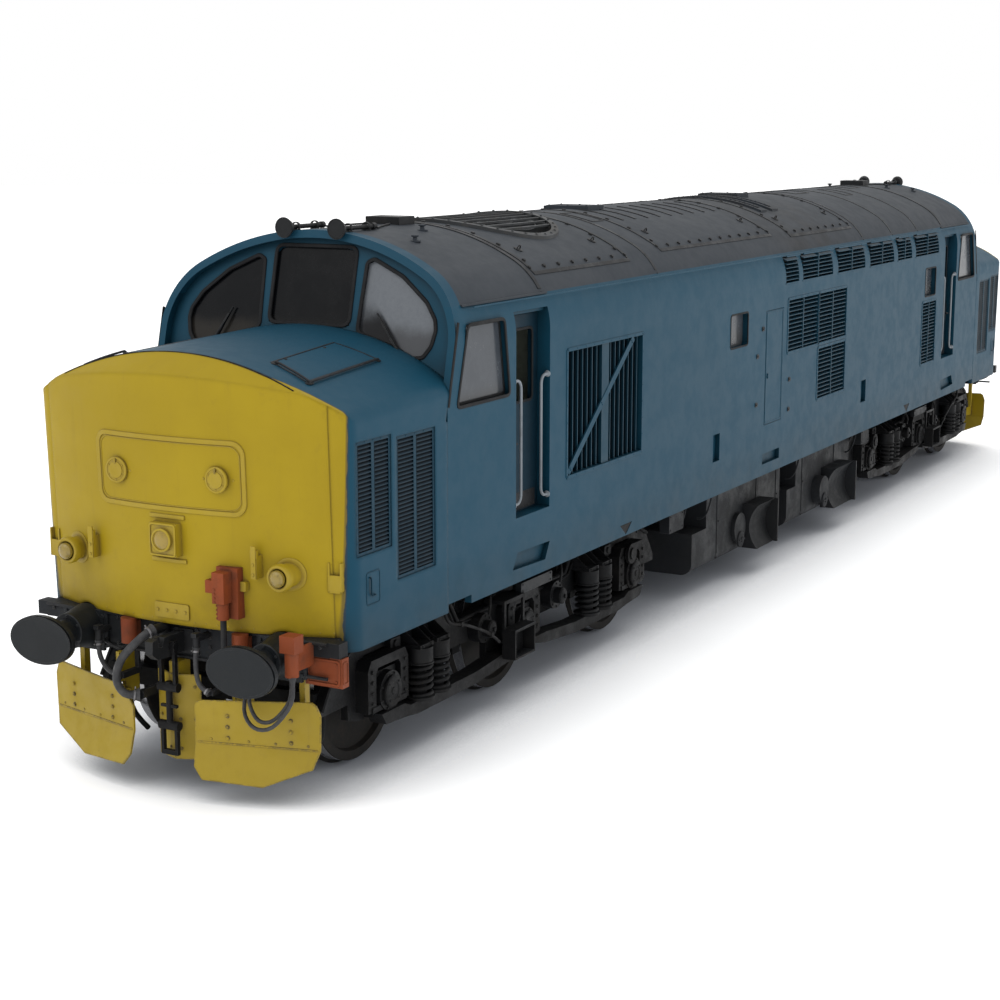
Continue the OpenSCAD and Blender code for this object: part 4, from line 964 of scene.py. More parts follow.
# open pockets on the corners for the route boards
k = Kit()
p, nr = on_nose(1.235, 1.62)
t = Vector((0, 0, 1)).cross(nr).normalized()
for a, b, c, d in ((-0.052, 0.052, 1.515, 1.530), (-0.052, -0.038, 1.515, 1.725), (0.038, 0.052, 1.515, 1.725)):
    k.slab([Vector((p.x, p.y, z)) + t * y - nr * 0.012 for y, z in ((a, c), (b, c), (b, d), (a, d))], nr * 0.042)
k.slab([Vector((p.x, p.y, z)) + t * y + nr * 0.020 for y, z in ((-0.052, 1.515), (0.052, 1.515), (0.052, 1.64), (-0.052, 1.64))], nr * 0.009)
k.sides()
k.ends()
k.piece("nose_corner_pockets", "yellow", slot="nose_yellow", bevel=0.002)


# ------------------------------------------------------------------ body side detail
HW = 1.353
LOUVRES = [(-0.740, 0.200, 2.310, 2.850, 2), (-1.700, -0.780, 2.310, 2.850, 2), (-1.700, -0.780, 1.690, 2.240, 2), (-5.390, -4.790, 1.640, 2.420, 2)]
CANTS = [(-0.095, 0.300), (-1.200, -0.220), (-2.350, -1.380), (-3.480, -2.540), (-4.230, -3.640), (-5.440, -4.400)]


def louvre_bank(k, x0, x1, z0, z1, cols, step=0.041, back=1.296, front=1.349):
    w = (x1 - x0 - 0.016 * (cols - 1)) / cols
    for c in range(cols):
        a = x0 + c * (w + 0.016) + 0.006
        b = a + w - 0.012
        n = int((z1 - z0 - 0.02) / step)
        st = (z1 - z0 - 0.012) / n
        for i in range(n):
            z = z0 + 0.006 + (i + 0.5) * st
            k.slab([(a, front, z - st * 0.20), (a, front, z - st * 0.02), (a, back, z + st * 0.46), (a, back, z + st * 0.28)], (b - a, 0, 0))
        if c:
            k.box(a - 0.024, a - 0.004, 1.294, HW - 0.001, z0 + 0.002, z1 - 0.002)


k = Kit()
for x0, x1, z0, z1, c in LOUVRES:
    louvre_bank(k, x0, x1, z0, z1, c)
for x0, x1 in CANTS:
    louvre_bank(k, x0, x1, 3.045, 3.305, 1 if x1 - x0 < 0.5 else 2, step=0.036)
k.sides()
k.piece("body_side_louvres", "deep", slot="grille_blue")

# frames round the louvre banks and the filter panels, with their screws
k = Kit()
for x0, x1, z0, z1, c in LOUVRES + [(3.950, 5.420, 1.810, 2.840, 2)]:
    k.strip([(x, HW, z) for x, z in round_rect(x0 - 0.016, x1 + 0.016, z0 - 0.016, z1 + 0.016, 0.006, 1)], (0, 1, 0), 0.030, 0.005, closed=True)
    nx, nz = max(2, int((x1 - x0) / 0.16)), max(2, int((z1 - z0) / 0.14))
    for i in range(nx + 1):
        for z in (z0 - 0.016, z1 + 0.016):
            k.bolt((x0 + (x1 - x0) * i / nx, HW + 0.005, z), (0, 1, 0), 0.007, 0.004, False)
    for j in range(1, nz):
        for x in (x0 - 0.016, x1 + 0.016):
            k.bolt((x, HW + 0.005, z0 + (z1 - z0) * j / nz), (0, 1, 0), 0.007, 0.004, False)
for i, (x0, x1) in enumerate(CANTS):
    k.strip([(x0 - 0.010, HW, 3.032), (x1 + 0.010, HW, 3.032)], (0, 1, 0), 0.016, 0.004)
    k.strip([(x0 - 0.010, HW, 3.318), (x1 + 0.010, HW, 3.318)], (0, 1, 0), 0.016, 0.004)
# long seam under the roof line
for z in (3.334,):
    k.strip([(x * 0.5 - 7.0, HW - 0.0005, z) for x in range(0, 29)][0:29], (0, 1, 0), 0.010, 0.003)
k.sides()
k.piece("body_side_frames", "blue", slot="body_blue")

# stay across the radiator shutters
k = Kit()
a, b = Vector((5.40, 1.3335, 1.825)), Vector((4.12, 1.3335, 2.835))
t = (b - a).normalized()
u = Vector((0, 1, 0)).cross(t)
w = 0.030
k.slab([a + u * w, b + u * w, b - u * w, a - u * w], (0, 0.016, 0))
for p in (a + t * 0.05, b - t * 0.05, a.lerp(b, 0.5)):
    for q in (-0.012, 0.012):
        k.bolt(p + u * q + Vector((0, 0.016, 0)), (0, 1, 0), 0.006, 0.004)
k.sides()
k.piece("radiator_shutter_stays", "blue", slot="body_blue", bevel=0.002)

# dark triangle marks at the jacking points
k = Kit()
for s in (1, -1):
    k.slab([(s * 4.125, 1.3455, 1.186), (s * 4.365, 1.3455, 1.186), (s * 4.245, 1.3455, 1.098)], (0, 0.004, 0))
k.sides()
k.piece("jacking_point_marks", "black", slot="underframe_black", bevel=0.0008)

# nose side louvres
k = Kit()
for x0, x1, z0, z1 in ((8.190, 8.640, 1.750, 2.550), (7.585, 8.120, 1.490, 2.520)):
    xm = (x0 + x1) / 2
    for a, b in ((x0 + 0.032, xm - 0.017), (xm + 0.017, x1 - 0.032)):
        n = int((z1 - z0 - 0.06) / 0.029)
        st = (z1 - z0 - 0.06) / n
        for i in range(n):
            z = z0 + 0.03 + (i + 0.5) * st
            y = HW - 0.019
            k.slab([(a, y + 0.012, z - st * 0.28), (a, y + 0.013, z - st * 0.10), (a, y - 0.001, z + st * 0.40), (a, y - 0.003, z + st * 0.10)], (b - a, 0, 0))
k.sides()
k.ends()
k.piece("nose_side_louvres", "noselouvre", slot="grille_blue")
k = Kit()
for x0, x1, z0, z1 in ((8.190, 8.640, 1.750, 2.550), (7.585, 8.120, 1.490, 2.520)):
    for i in range(5):
        for z in (z0 + 0.012, z1 - 0.012):
            x = x0 + 0.02 + (x1 - x0 - 0.04) * i / 4
            h = hit("nose_grilles", (x, 2.0, z), (0, -1, 0))
            if h:
                k.bolt(h[0], (0, 1, 0), 0.007, 0.004, False)
    for i in range(1, 8):
        for x in (x0 + 0.012, x1 - 0.012):
            h = hit("nose_grilles", (x, 2.0, z0 + (z1 - z0) * i / 8), (0, -1, 0))
            if h:
                k.bolt(h[0], (0, 1, 0), 0.007, 0.004, False)
k.sides()
k.ends()
k.piece("nose_louvre_screws", "nose", slot="body_blue")

# window seals
k = Kit()
side_win = [(6.430, 2.610), (7.260, 2.610), (7.090, 3.210), (6.520, 3.210)]


def soften(poly, r=0.03, n=4):
    out = []
    m = len(poly)
    for i in range(m):
        a, b, c = Vector((*poly[i - 1], 0)), Vector((*poly[i], 0)), Vector((*poly[(i + 1) % m], 0))
        p, q = b + (a - b).normalized() * r, b + (c - b).normalized() * r
        for j in range(n + 1):
            t = j / n
            v = p * (1 - t) ** 2 + b * 2 * t * (1 - t) + q * t * t
            out.append((v.x, v.y))
    return out


k.strip([(x, HW - 0.001, z) for x, z in soften(side_win, 0.05)], (0, 1, 0), 0.026, 0.007, closed=True, off=0.0)
# dark seal strip down the windscreen pillar
k.strip([(7.385, HW - 0.001, 2.63), (7.345, HW - 0.001, 2.80), (7.235, HW - 0.001, 3.24)], (0, 1, 0), 0.026, 0.005)
k.sides()
k.ends()
for x0, x1, z0, z1 in ((1.370, 1.840, 2.500, 2.830), (-5.340, -4.870, 2.500, 2.860)):
    for q in (1, -1):
        k.strip([(x, q * (HW - 0.001), z) for x, z in round_rect(x0, x1, z0, z1, 0.03, 3)], (0, q, 0), 0.018, 0.005, closed=True)
k.piece("body_window_seals", "black", slot="hose_rubber")

# windscreen seals
LEAN = math.atan(0.25)
WU, WN = Vector((-math.sin(LEAN), 0, math.cos(LEAN))), Vector((math.cos(LEAN), 0, math.sin(LEAN)))


def wpt(y, t, lift=0.0):
    return Vector((7.2, y, 2.63)) + WU * t + WN * (0.119 + lift)


side_pane = [(0.450, 0.500), (0.470, 1.010), (0.530, 1.040), (0.800, 0.915), (1.030, 0.730), (1.120, 0.600), (1.135, 0.520), (1.110, 0.400), (1.050, 0.315), (0.950, 0.302), (0.830, 0.365), (0.480, 0.465)]
k = Kit()
k.strip([wpt(y, t, -0.002) for y, t in round_rect(-0.37, 0.37, 0.520, 1.125, 0.06, 4)], WN, 0.030, 0.012, closed=True)
for q in (1, -1):
    pts = soften([(q * y, t) for y, t in side_pane], 0.022, 3)
    k.strip([wpt(y, t, -0.002) for y, t in pts], WN, 0.030, 0.012, closed=True)
k.ends()
k.piece("windscreen_seals", "black", slot="hose_rubber")

# windscreen wipers
k = Kit()
for (y0, t0), (y1, t1), (b0y, b0t), (b1y, b1t) in (((0.955, 0.235), (0.760, 0.440), (0.615, 0.625), (0.905, 0.275)), ((-0.885, 0.285), (-0.790, 0.480), (-0.715, 0.620), (-0.855, 0.335))):
    a, b = wpt(y0, t0, 0.030), wpt(y1, t1, 0.020)
    k.lathe(wpt(y0, t0, -0.004), WN, [(0.026, 0), (0.026, 0.016), (0.016, 0.024), (0.010, 0.040)], 14)
    k.strip([a, a.lerp(b, 0.5) + WN * 0.006, b], WN, 0.016, 0.007)
    p, q = wpt(b0y, b0t, 0.004), wpt(b1y, b1t, 0.004)
    k.strip([p, p.lerp(q, 0.5) + WN * 0.003, q], WN, 0.010, 0.014)
    k.strip([p.lerp(q, 0.2) + WN * 0.016, p.lerp(q, 0.5) + WN * 0.024, p.lerp(q, 0.8) + WN * 0.016], WN, 0.016, 0.005)
k.turned()
k.piece("windscreen_wipers", "dark", slot="underframe_black")

# cab doors: handles, window seals, kick plates; each rides on its own door
for e, sx in (("front", 1), ("rear", -1)):
    for side, sy in (("left", 1), ("right", -1)):
        node = f"{e}_{side}_cab_door"
        kk = Kit()
        zf = hit(node, (6.0, 2.0, 2.2), (0, -1, 0)) if sx * sy == 99 else hit(node, (sx * 6.04, sy * 2.0, 2.2), (0, -sy, 0))
        yf = abs(zf[0].y)
        kk.strip([(x, yf, z) for x, z in round_rect(5.845, 6.232, 2.50, 3.08, 0.045, 4)], (0, 1, 0), 0.022, 0.006, closed=True)
        kk.piece
        h = Kit()
        h.strip([(6.275, yf, 2.10), (6.275, yf, 2.30)], (0, 1, 0), 0.034, 0.004)
        h.tube([(6.275, yf + 0.002, 2.16), (6.275, yf + 0.034, 2.165), (6.262, yf + 0.040, 2.175), (6.20, yf + 0.040, 2.185), (6.17, yf + 0.038, 2.18)], 0.009, 8)
        h.lathe((6.275, yf, 2.255), (0, 1, 0), [(0.015, 0), (0.015, 0.006), (0.010, 0.008)], 12)
        h.strip([(5.80, yf, 1.70), (6.28, yf, 1.70)], (0, 1, 0), 0.14, 0.003)
        for i in range(6):
            for z in (1.645, 1.755):
                h.bolt((5.82 + i * 0.088, yf + 0.003, z), (0, 1, 0), 0.005, 0.003, False)
        if sx * sy < 0:
            fl = True
        else:
            fl = False
        fn = lambda v, a=sx, b=sy: Vector((v.x * a, v.y * b, v.z))
        kk.moved(fn, fl).piece(node + "_window_seal", "black", body=node, slot="hose_rubber")
        h.moved(fn, fl).piece(node + "_handle", "dark", body=node, slot="underframe_black")

# side doors: outline lip, budget lock and handle
for side, sy in (("left", 1), ("right", -1)):
    h = Kit()
    h.lathe((0.79, HW, 2.12), (0, 1, 0), [(0.024, 0), (0.024, 0.004), (0.018, 0.006)], 16)
    h.box(0.780, 0.800, HW - 0.001, HW + 0.012, 2.095, 2.145)
    h.strip([(x, HW, z) for x, z in round_rect(0.375, 0.835, 1.63, 2.775, 0.01, 1)], (0, 1, 0), 0.012, 0.003, closed=True)
    h.moved(lambda v, b=sy: Vector((v.x, v.y * b, v.z)), sy < 0).piece(f"{side}_side_door_fittings", "blue", body=f"{side}_side_door", slot="body_blue")

k = Kit()
for x, z in ((1.09, 2.35), (1.10, 1.855), (0.134, 2.01), (0.138, 1.69), (0.95, 2.62)):
    k.slab([(a, HW - 0.001, b) for a, b in round_rect(x - 0.030, x + 0.030, z - 0.022, z + 0.022, 0.008, 2)], (0, 0.008, 0))
    k.cyl((x - 0.02, HW + 0.010, z), (x + 0.02, HW + 0.010, z), 0.006, n=8)
k.sides()
k.piece("side_door_catches", "dark", slot="underframe_black", bevel=0.001)

# smooth handrails with their feet turned to the door pillars
k = Kit()
for xa, xb in ((5.750, 5.860), (6.330, 6.205)):
    y = 1.330
    d = 1 if xb > xa else -1
    pts = [(xa - d * 0.004, y, 1.712)]
    r = 0.07
    for cz, a0, a1 in ((1.712 + r, -90, 0), (2.698 - r, 0, 90)):
        cx = xb - d * r
        for i in range(9):
            a = math.radians(a0 + (a1 - a0) * i / 8)
            pts.append((cx + d * r * math.cos(a), y, cz + r * math.sin(a)))
    pts.append((xa - d * 0.004, y, 2.698))
    k.tube(pts, 0.012, 12)
    for z in (1.712, 2.698):
        k.lathe((xa - d * 0.002, y, z), (d, 0, 0), [(0.027, 0), (0.027, 0.006), (0.016, 0.012), (0.0125, 0.016)], 16)
k.sides()
k.ends()
o = k.piece("smooth_handrails", "rail", slot="handrail_grey")
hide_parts("handrails")


# outer sliding sash of the cab side windows
k = Kit()
cx_, cz_ = 6.83, 2.90
poly = [(cx_ + (x - cx_) * 0.996, cz_ + (z - cz_) * 0.994) for x, z in side_win]
k.slab([(x, 1.3005, z) for x, z in poly], (0, 0.006, 0))
k.sides()
k.ends()
k.piece("cab_side_sashes", "pane", slot="glass")
k = Kit()
k.strip([(x, 1.306, z) for x, z in soften([(cx_ + (x - cx_) * 0.965, cz_ + (z - cz_) * 0.95) for x, z in side_win], 0.04)], (0, 1, 0), 0.020, 0.008, closed=True)
k.sides()
k.ends()
k.piece("cab_side_sash_frames", "black", slot="hose_rubber")


# ------------------------------------------------------------------ roof detail
def roof_path(pts, closed=False, sx=0.2, sy=0.05):
    dense = []
    seq = list(zip(pts, pts[1:] + pts[:1])) if closed else list(zip(pts, pts[1:]))
    for (a, b), (c, d) in seq:
        n = max(1, int(max(abs(c - a) / sx, abs(d - b) / sy)))
        dense += [(a + (c - a) * i / n, b + (d - b) * i / n) for i in range(n)]
    if not closed:
        dense.append(pts[-1])
    out = []
    for x, y in dense:
        h = None
        for n in ("main_roof", "cab_roofs"):
            h = h or hit(n, (x, y, 5.0), (0, 0, -1))
        if h:
            out.append(h)
    return [h[0] for h in out], [h[1] for h in out]


k = Kit()
hatches = [(3.880, 5.700, 1.177), (0.230, 3.090, 1.135), (-2.310, -0.275, 1.170)]
for x0, x1, w in hatches:
    pts, nrs = roof_path([(x0, -w), (x1, -w), (x1, w), (x0, w)], True)
    k.strip(pts, lambda i, n=nrs: n[i], 0.038, 0.007, closed=True)
for x in (-2.470, -3.60, -4.66, 3.48):
    pts, nrs = roof_path([(x, -1.315), (x, 1.315)])
    k.strip(pts, lambda i, n=nrs: n[i], 0.045, 0.005)
for x in (5.775, -5.775):
    pts, nrs = roof_path([(x, -1.315), (x, 1.315)])
    k.strip(pts, lambda i, n=nrs: n[i], 0.055, 0.008)
# shallow stiffening ribs across the middle hatch
for i in range(9):
    x = 0.52 + i * 0.285
    for q in (1, -1):
        pts, nrs = roof_path([(x, q * 0.16), (x, q * 0.62)])
        k.strip(pts, lambda i, n=nrs: n[i], 0.030, 0.008)
# flat access plates
for x, y, a, b in ((3.28, 0.42, 0.12, 0.16), (-3.05, 0.0, 0.24, 0.30), (-4.15, 0.35, 0.14, 0.18), (-4.15, -0.35, 0.14, 0.18), (-5.20, 0.0, 0.22, 0.26)):
    pts, nrs = roof_path([(x - a, y - b), (x + a, y - b), (x + a, y + b), (x - a, y + b)], True)
    k.strip(pts, lambda i, n=nrs: n[i], 0.020, 0.006, closed=True)
k.piece("roof_hatch_edges", "dark", slot="roof_grey")

k = Kit()
for x0, x1, w in hatches:
    nx = int((x1 - x0) / 0.24)
    for i in range(nx + 1):
        for q in (1, -1):
            h = on_roof(x0 + (x1 - x0) * i / nx, q * (w - 0.045))
            if h:
                k.bolt(h[0], h[1], 0.019, 0.013)
    for x in (x0 + 0.05, x1 - 0.05):
        for i in range(10):
            y = -w + 0.12 + (2 * w - 0.24) * i / 9
            h = on_roof(x, y)
            if h:
                k.bolt(h[0], h[1], 0.019, 0.013)
for x in (-2.470, -3.60, -4.66, 3.48, 5.775, -5.775):
    for i in range(21):
        h = on_roof(x, -1.28 + 2.56 * i / 20)
        if h:
            k.bolt(h[0] + h[1] * 0.004, h[1], 0.007, 0.005, False)
# lifting eyes
for x0, x1, w in hatches:
    for x in (x0 + 0.22, x1 - 0.22):
        for q in (1, -1):
            h = on_roof(x, q * (w - 0.26))
            p, nr = h
            k.lathe(p, nr, [(0.040, -0.003), (0.040, 0.006), (0.032, 0.009)], 16)
            pts = [p + Vector((0.026 * math.cos(math.radians(a)), 0, 0)) + nr * (0.008 + 0.030 * math.sin(math.radians(a))) for a in range(0, 181, 20)]
            k.tube(pts, 0.006, 8)
k.piece("roof_hatch_bolts", "dark", slot="roof_grey")

# fan ring bolts and the rings of the guard
k = Kit()
for i in range(36):
    a = 2 * math.pi * i / 36
    h = hit("fan_grille", (4.75 + 0.792 * math.cos(a), 0.792 * math.sin(a), 5.0), (0, 0, -1))
    if h:
        k.bolt(h[0], (0, 0, 1), 0.010, 0.008)
def crown(y):
    h = hit("main_roof", (3.75, y, 5.0), (0, 0, -1))
    return h[0].z


for rr_ in (0.20, 0.42, 0.62):
    k.tube([(4.75 + rr_ * math.cos(2 * math.pi * i / 48), rr_ * math.sin(2 * math.pi * i / 48), crown(rr_ * math.sin(2 * math.pi * i / 48)) + 0.002) for i in range(48)], 0.005, 6, closed=True)
k.piece("fan_guard_rings", "fan", slot="fan_steel")

# exhaust ports: bolts; horns: straps and mouths; small lids on the roof boxes
k = Kit()
for x in (-0.560, -0.900):
    for q in (1, -1):
        for i in range(12):
            y = q * (0.06 + i * 0.055)
            for dx in (-0.068, 0.068):
                h = hit("roof_fittings", (x + dx, y, 5.0), (0, 0, -1))
                if h:
                    k.bolt(h[0], h[1], 0.006, 0.005, False)
for x in (-1.250, 2.600):
    k.strip([(a, b, 3.902) for a, b in round_rect(x - 0.150, x + 0.150, -0.220, 0.220, 0.02, 2)], (0, 0, 1), 0.022, 0.005, closed=True)
    for a in (-0.13, 0.13):
        for b in (-0.2, 0, 0.2):
            k.bolt((x + a, b, 3.906), (0, 0, 1), 0.008, 0.006)
k.piece("roof_box_lids", "roof", slot="roof_grey")

k = Kit()
for q in (-0.240, 0.240):
    k.lathe((7.147, q, 3.888), (1, 0, 0), [(0.060, -0.050), (0.074, -0.016), (0.080, -0.004), (0.080, 0.002), (0.074, 0.003), (0.058, -0.020)], 24)
    for x in (6.72, 6.98):
        pts = [(x, q + 0.034 * math.cos(math.radians(a)), 3.888 + 0.034 * math.sin(math.radians(a))) for a in range(0, 360, 20)]
        k.strip(pts, lambda i, c=(x, q, 3.888), pp=pts: Vector(pp[i]) - Vector(c), 0.024, 0.004, closed=True)
        h = on_roof(x, q)
        if h:
            k.cyl((x, q, h[0].z - 0.004), (x, q, 3.87), 0.011, n=10)
            k.lathe(h[0], (0, 0, 1), [(0.036, -0.002), (0.036, 0.006), (0.028, 0.008)], 14)
    h = on_roof(6.50, q)
    pts = [(6.642, q, 3.888), (6.60, q, 3.888), (6.56, q, 3.875), (6.535, q * 0.95, h[0].z + 0.012), (6.40, q * 0.75, on_roof(6.40, q * 0.75)[0].z + 0.010), (6.16, q * 0.45, on_roof(6.20, q * 0.45)[0].z + 0.010)]
    k.tube(smooth_route([Vector(p) for p in pts], 5), 0.008, 8)
k.ends()
k.piece("horn_mouths_and_pipes", "dark", slot="underframe_black")
# knob and small vent on each cab roof
k = Kit()
for x, y in ((6.140, -0.40), (6.140, 0.40), (6.62, 0.62)):
    h = on_roof(x, y)
    k.lathe(h[0], (0, 0, 1), [(0.045, -0.006), (0.045, 0.006), (0.020, 0.010), (0.016, 0.030), (0.030, 0.036), (0.030, 0.046), (0.0, 0.052)], 18)
k.ends()
k.piece("cab_roof_vents", "roof", slot="roof_grey")


# ------------------------------------------------------------------ bogies and underframe detail
def on_bogies(k, name, mat, slot, bevel=0.0, both=True, angle=32):
    """k is drawn round the pivot at x 0 for the near side."""
    if both:
        k.sides()
    k.shift(5.7).piece("front_" + name, mat, body="front_bogie", slot=slot, bevel=bevel, angle=angle)
    k.shift(5.7).moved(lambda v: Vector((-v.x, -v.y, v.z))).piece("rear_" + name, mat, body="rear_bogie", slot=slot, bevel=bevel, angle=angle)


# coil springs
k = Kit()
for x in (-1.460, -1.190, 1.460, 1.710):
    pts = []
    turns, n = 5.0, 18
    for i in range(int(turns * n) + 1):
        a = 2 * math.pi * i / n
        z = 0.432 + 0.256 * i / (turns * n)
        if i < n * 0.6:
            z = 0.432 + 0.10 * 0.256 * (i / (n * 0.6)) * 0.6
        pts.append((x + 0.092 * math.cos(a), 1.100 + 0.092 * math.sin(a), z))
    k.tube(pts, 0.0165, 8)
on_bogies(k, "coil_springs", "bogie", "bogie_black", angle=50)

k = Kit()
# flange along the top of the side plates
top = [(-2.700, 0.860), (-2.400, 1.000), (-1.080, 1.000), (-0.950, 0.820), (-0.450, 0.820), (-0.250, 1.000), (0.250, 1.000), (0.450, 0.820), (0.950, 0.820), (1.080, 1.000), (2.400, 1.000), (2.700, 0.860), (2.880, 0.600)]
dense = []
for (a, b), (c, d) in zip(top, top[1:]):
    s_ = max(1, int(math.hypot(c - a, d - b) / 0.1))
    dense += [(a + (c - a) * i / s_, b + (d - b) * i / s_) for i in range(s_)]
dense.append(top[-1])
k.strip([(x, 0.985, z - 0.016) for x, z in dense], (0, 1, 0), 0.030, 0.028)
for x, z in dense[::1]:
    if abs(abs(x) - 0.7) > 0.32 and abs(x) < 2.6:
        k.bolt((x, 0.985, z - 0.070), (0, 1, 0), 0.012, 0.009, False)
for ax in (-2.15, 0.0, 2.15):
    # bolts on the horn guides, tie bar under the axlebox and cover bolts
    for dx in (-0.226, 0.226):
        for z in (0.52, 0.60, 0.68, 0.76):
            k.bolt((ax + dx, 1.100, z), (0, 1, 0), 0.015, 0.011)
    k.strip([(ax - 0.235, 1.098, 0.470), (ax + 0.235, 1.098, 0.470)], (0, 1, 0), 0.045, 0.012)
    for i in range(8):
        a = math.radians(22.5 + 45 * i)
        h = (ax + 0.134 * math.cos(a), 1.118, 0.5715 + 0.134 * math.sin(a))
        k.bolt(h, (0, 1, 0), 0.010, 0.008)
    k.lathe((ax, 1.142, 0.5715), (0, 1, 0), [(0.112, -0.002), (0.112, 0.004), (0.104, 0.008), (0.070, 0.008), (0.064, 0.003), (0.030, 0.003), (0.026, 0.010), (0.0, 0.012)], 28)
    for i in range(4):
        a = math.radians(45 + 90 * i)
        k.bolt((ax + 0.088 * math.cos(a), 1.150, 0.5715 + 0.088 * math.sin(a)), (0, 1, 0), 0.008, 0.006)
for x in (-1.460, -1.190, 1.460, 1.710):
    k.lathe((x, 1.100, 0.676), (0, 0, 1), [(0.113, 0), (0.113, 0.010), (0.106, 0.013)], 24)
    k.lathe((x, 1.100, 0.408), (0, 0, 1), [(0.120, 0), (0.120, 0.012), (0.100, 0.020)], 24)
    for dx in (-0.06, 0.06):
        k.bolt((x + dx, 1.170, 0.815), (0, 1, 0), 0.011, 0.008)
    # gusset between the bracket and the side plate
    for dx in (-0.088, 0.080):
        k.slab([(x + dx, 0.984, 0.832), (x + dx, 1.150, 0.832), (x + dx, 0.984, 0.965)], (0.008, 0, 0))
on_bogies(k, "bogie_bolts_and_flanges", "bogie", "bogie_black")

# brake gear: cylinder covers with their pipes, hangers, sand pipes
k = Kit()
for x, z in ((-0.620, 0.690), (0.650, 0.690)):
    for i in range(8):
        a = math.radians(45 * i)
        k.bolt((x + 0.100 * math.cos(a), 1.085, z + 0.100 * math.sin(a)), (0, 1, 0), 0.009, 0.008)
    k.lathe((x, 1.150, z), (0, 1, 0), [(0.062, -0.001), (0.062, 0.006), (0.050, 0.012), (0.018, 0.014), (0.018, 0.030), (0.0, 0.034)], 22)
    k.tube(smooth_route([Vector(p) for p in ((x, 1.120, z + 0.118), (x, 1.130, z + 0.19), (x - 0.05, 1.10, z + 0.27), (x - 0.16, 1.03, z + 0.30))], 5), 0.011, 8)
for ax in (-2.15, 0.0, 2.15):
    for s_ in (-1, 1):
        x = ax + s_ * 0.690
        if abs(x) > 2.55 or abs(abs(x) - 1.46) < 0.14 or abs(abs(x) - 0.65) < 0.2:
            continue
        k.strip([(x, 0.985, 0.86), (x, 0.985, 0.60)], (0, 1, 0), 0.045, 0.018)
for x in (-2.66, 2.66):
    s_ = 1 if x > 0 else -1
    k.tube(smooth_route([Vector(p) for p in ((x, 0.87, 0.92), (x + s_ * 0.015, 0.872, 0.62), (x + s_ * 0.040, 0.872, 0.37), (x + s_ * 0.042, 0.845, 0.28), (x + s_ * 0.030, 0.795, 0.21), (x - s_ * 0.030, 0.770, 0.13))], 5), 0.021, 10)
    k.lathe((x, 0.87, 0.88), (0, 0, 1), [(0.036, 0), (0.036, 0.03), (0.05, 0.05), (0.05, 0.07)], 14)
# bent pipe hanging beside the cab footstep, and clips
k.tube(smooth_route([Vector(p) for p in ((1.50, 1.20, 1.02), (1.44, 1.215, 0.93), (1.20, 1.22, 0.86), (0.86, 1.22, 0.72), (0.66, 1.215, 0.60), (0.60, 1.16, 0.585))], 6), 0.013, 8)
for x, z in ((1.28, 0.885), (0.80, 0.69)):
    k.box(x - 0.016, x + 0.016, 1.196, 1.238, z - 0.02, z + 0.02)
# gear on the frame plates: small valves, junction and pipe runs
k.tube([(-2.40, 0.998, 0.93), (-1.15, 0.998, 0.93), (-1.02, 0.998, 0.78), (-0.90, 0.998, 0.765), (-0.46, 0.998, 0.765), (-0.34, 0.998, 0.84), (-0.20, 0.998, 0.955), (0.24, 0.998, 0.955)], 0.011, 8)
k.tube([(2.36, 0.998, 0.955), (1.12, 0.998, 0.955), (1.00, 0.998, 0.79), (0.80, 0.998, 0.775), (0.46, 0.998, 0.775)], 0.009, 8)
for x in (-2.2, -1.9, -1.6, -1.3, 1.3, 1.6, 1.9, 2.2):
    k.box(x - 0.012, x + 0.012, 0.984, 1.014, 0.915 if x < 0 else 0.940, 0.945 if x < 0 else 0.970)
for x, z in ((-1.75, 0.86), (1.95, 0.87)):
    k.slab([(a, 0.984, b) for a, b in round_rect(x - 0.07, x + 0.07, z - 0.045, z + 0.045, 0.012, 2)], (0, 0.055, 0))
    k.lathe((x, 1.039, z), (0, 1, 0), [(0.030, 0), (0.030, 0.012), (0.020, 0.016), (0, 0.018)], 16)
on_bogies(k, "brake_pipes_and_fittings", "bogie", "bogie_black", bevel=0.0012)

# paler equipment box over the middle axle
k = Kit()
k.slab([(a, 1.104, b) for a, b in round_rect(-0.40, 0.16, 0.872, 0.962, 0.012, 2)], (0, 0.050, 0))
for a in (-0.37, 0.13):
    for b in (0.890, 0.945):
        k.bolt((a, 1.154, b), (0, 1, 0), 0.009, 0.006)
k.box(-0.32, -0.28, 1.03, 1.11, 0.88, 0.95)
k.box(0.04, 0.08, 1.03, 1.11, 0.88, 0.95)
# non-slip treads of the footsteps
for z in (0.4155,):
    for i in range(12):
        k.strip([(0.160 + i * 0.025, 1.170, z + 0.0), (0.160 + i * 0.025, 1.262, z + 0.0)], (0, 0, 1), 0.006, 0.004)
k.strip([(0.130, 1.268, 0.648), (0.480, 1.268, 0.648)], (0, 0, 1), 0.012, 0.004)
on_bogies(k, "step_treads_and_box", "buffer", "bogie_black", bevel=0.001)

# underslung tanks: straps, bolts, filler caps, drain pipes
def side_of(node, x, z, y0=2.0):
    return hit(node, (x, y0, z), (0, -1, 0))


